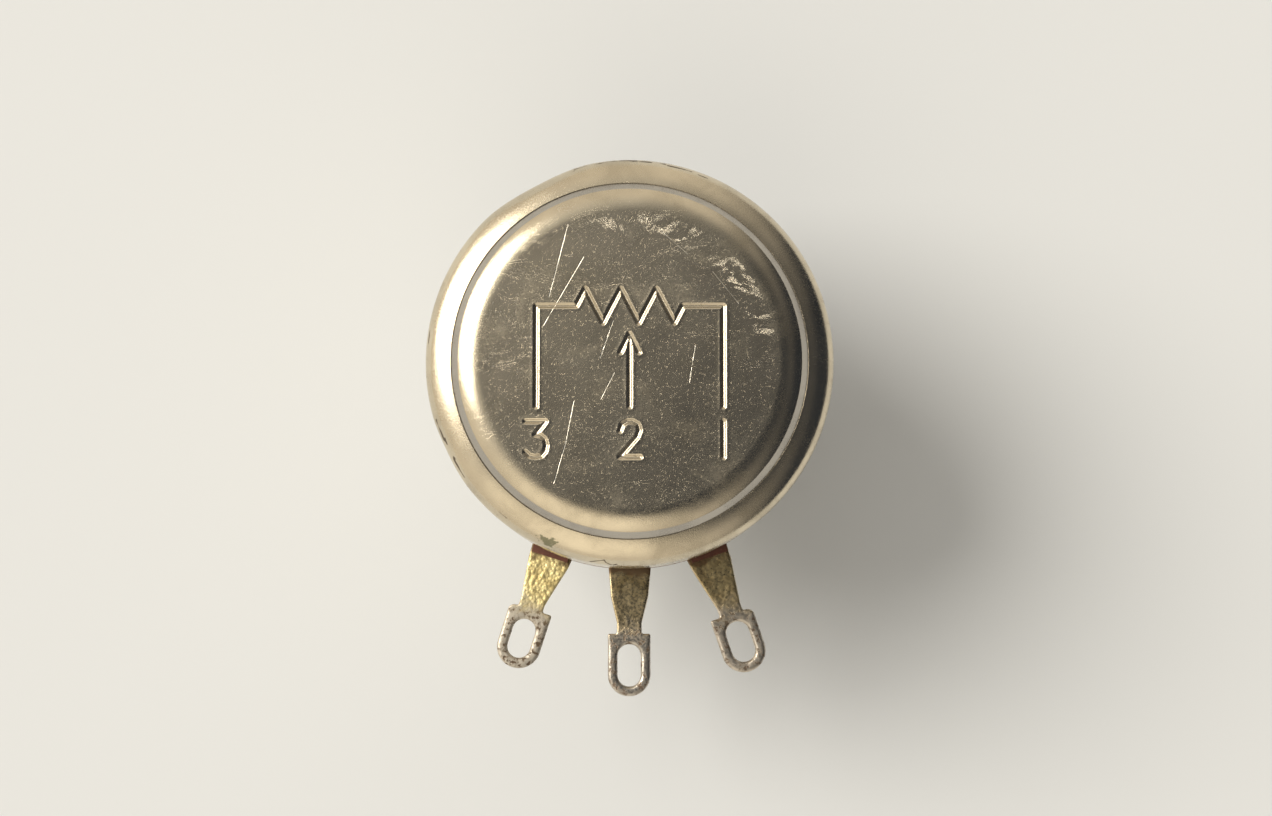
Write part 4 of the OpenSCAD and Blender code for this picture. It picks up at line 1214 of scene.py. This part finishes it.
# %% Materials of the moulded pieces
def moulded(name, colour, mottle, rough=0.55, grain=6.0, depth=0.01, stretch=(1, 1, 1)):
    material, n, place = start_material(name)
    place = n.vector("MULTIPLY", place, stretch)
    clouds = n.group(CLOUDS, Vector=place, Size=0.8, Level=0.5, Softness=0.2)
    flour = n.noise(place, grain, 5.0, 0.6)
    lines = n.group(HAIRLINES, Vector=place, Fineness=2.6, Amount=0.35)
    tint = n.blend(clouds * 0.6, colour, mottle)
    tint = n.blend(n.between(flour, 0.58, 0.72) * 0.5, tint, scaled(colour, 1.9, 0.02))
    tint = n.blend(lines, tint, scaled(colour, 1.6, 0.03))
    gloss = n.between(flour, 0.3, 0.7, rough - 0.1, rough + 0.12)
    end_material(n, tint, gloss, flour - lines * 0.5, depth, metallic=0.0)
    return material


MOULDED = {
    "moulded_base": moulded("brown_phenolic", (0.145, 0.05, 0.03), (0.08, 0.028, 0.018)),
    "rotor_disc": moulded("dark_phenolic", (0.075, 0.042, 0.032), (0.04, 0.024, 0.02), rough=0.45),
    "resistance_track": moulded("carbon_track", (0.028, 0.026, 0.025), (0.045, 0.042, 0.04), 0.5),
    "track_end_left": moulded("track_end_grey", (0.22, 0.215, 0.21), (0.14, 0.135, 0.13), 0.45),
    "contact_brush": moulded("brush_carbon", (0.03, 0.03, 0.031), (0.05, 0.05, 0.05), 0.4, 9.0),
    "cover_liner": moulded("fibre_liner", (0.24, 0.155, 0.08), (0.17, 0.105, 0.055), 0.7, 5.0, 0.012,
                           (1, 1, 0.15)),
}
MOULDED["brush_carrier"] = MOULDED["rotor_disc"]
MOULDED["track_end_right"] = MOULDED["track_end_left"]
print("moulded finishes:", sorted({m.name for m in MOULDED.values()}))

# %% [markdown]
# ## Turned and stamped metal
# The shaft and the hub carry the fine rings of the lathe tool, so their recipe adds a bump of rings
# along the axis. Washers, plates and springs are stamped and use the plain recipe in their own
# colours.

# %% Materials of the other metal pieces
def turned_metal(name, colour, tarnish, rough):
    material, n, place, tint, gloss, height = metal_recipe(name, colour, tarnish, rough)
    tool = n.noise(n.vector("MULTIPLY", place, (0.02, 0.02, 1)), 9.0)
    end_material(n, tint, gloss + (tool - 0.5) * 0.15, height * 0.5 + tool * 1.5, 0.004)
    return material


BRASS, BRASS_DARK = (0.66, 0.50, 0.25), (0.40, 0.28, 0.13)
BRONZE, BRONZE_DARK = (0.60, 0.38, 0.20), (0.36, 0.20, 0.10)
METALS = {
    "face_plate": plated_metal("plated_plate", (0.60, 0.565, 0.475), (0.37, 0.32, 0.24), 0.32, 3.0,
                               0.55, 0.6, 2.6),
    "shaft": turned_metal("satin_shaft", (0.63, 0.61, 0.57), (0.40, 0.36, 0.30), 0.26),
    "rotor_hub": turned_metal("turned_hub", BRASS, BRASS_DARK, 0.28),
    "retaining_ring": plated_metal("oiled_spring_steel", (0.30, 0.29, 0.28), (0.14, 0.12, 0.10), 0.34,
                                   1.5, 0.5, 0.5, 4.0),
    "thrust_washer": plated_metal("washer_brass", BRASS, BRASS_DARK, 0.3, 2.0),
    "spring_washer": plated_metal("phosphor_bronze", BRONZE, BRONZE_DARK, 0.28, 2.0),
    "collector_ring": plated_metal("collector_metal", (0.62, 0.48, 0.25), BRASS_DARK, 0.22, 2.4, 0.6,
                                   0.9, 5.0),
    "stop_plate": plated_metal("plated_steel", (0.52, 0.51, 0.49), (0.30, 0.27, 0.23), 0.3, 2.6),
    "carrier_rivets": plated_metal("peened_brass", BRASS, BRASS_DARK, 0.32, 1.0),
}
METALS["brush_spring"] = METALS["spring_washer"]
print("metal finishes:", sorted({m.name for m in METALS.values()}))


# %% Put the finishes on the CAD solids
def finish_solids():
    finishes = MOULDED | METALS
    for node, material in finishes.items():
        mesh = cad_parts[node].data
        mesh.materials.clear()
        mesh.materials.append(material)
    return [n for n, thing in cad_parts.items() if n not in finishes and not thing.hide_render]


print("solids without a finish:", finish_solids())
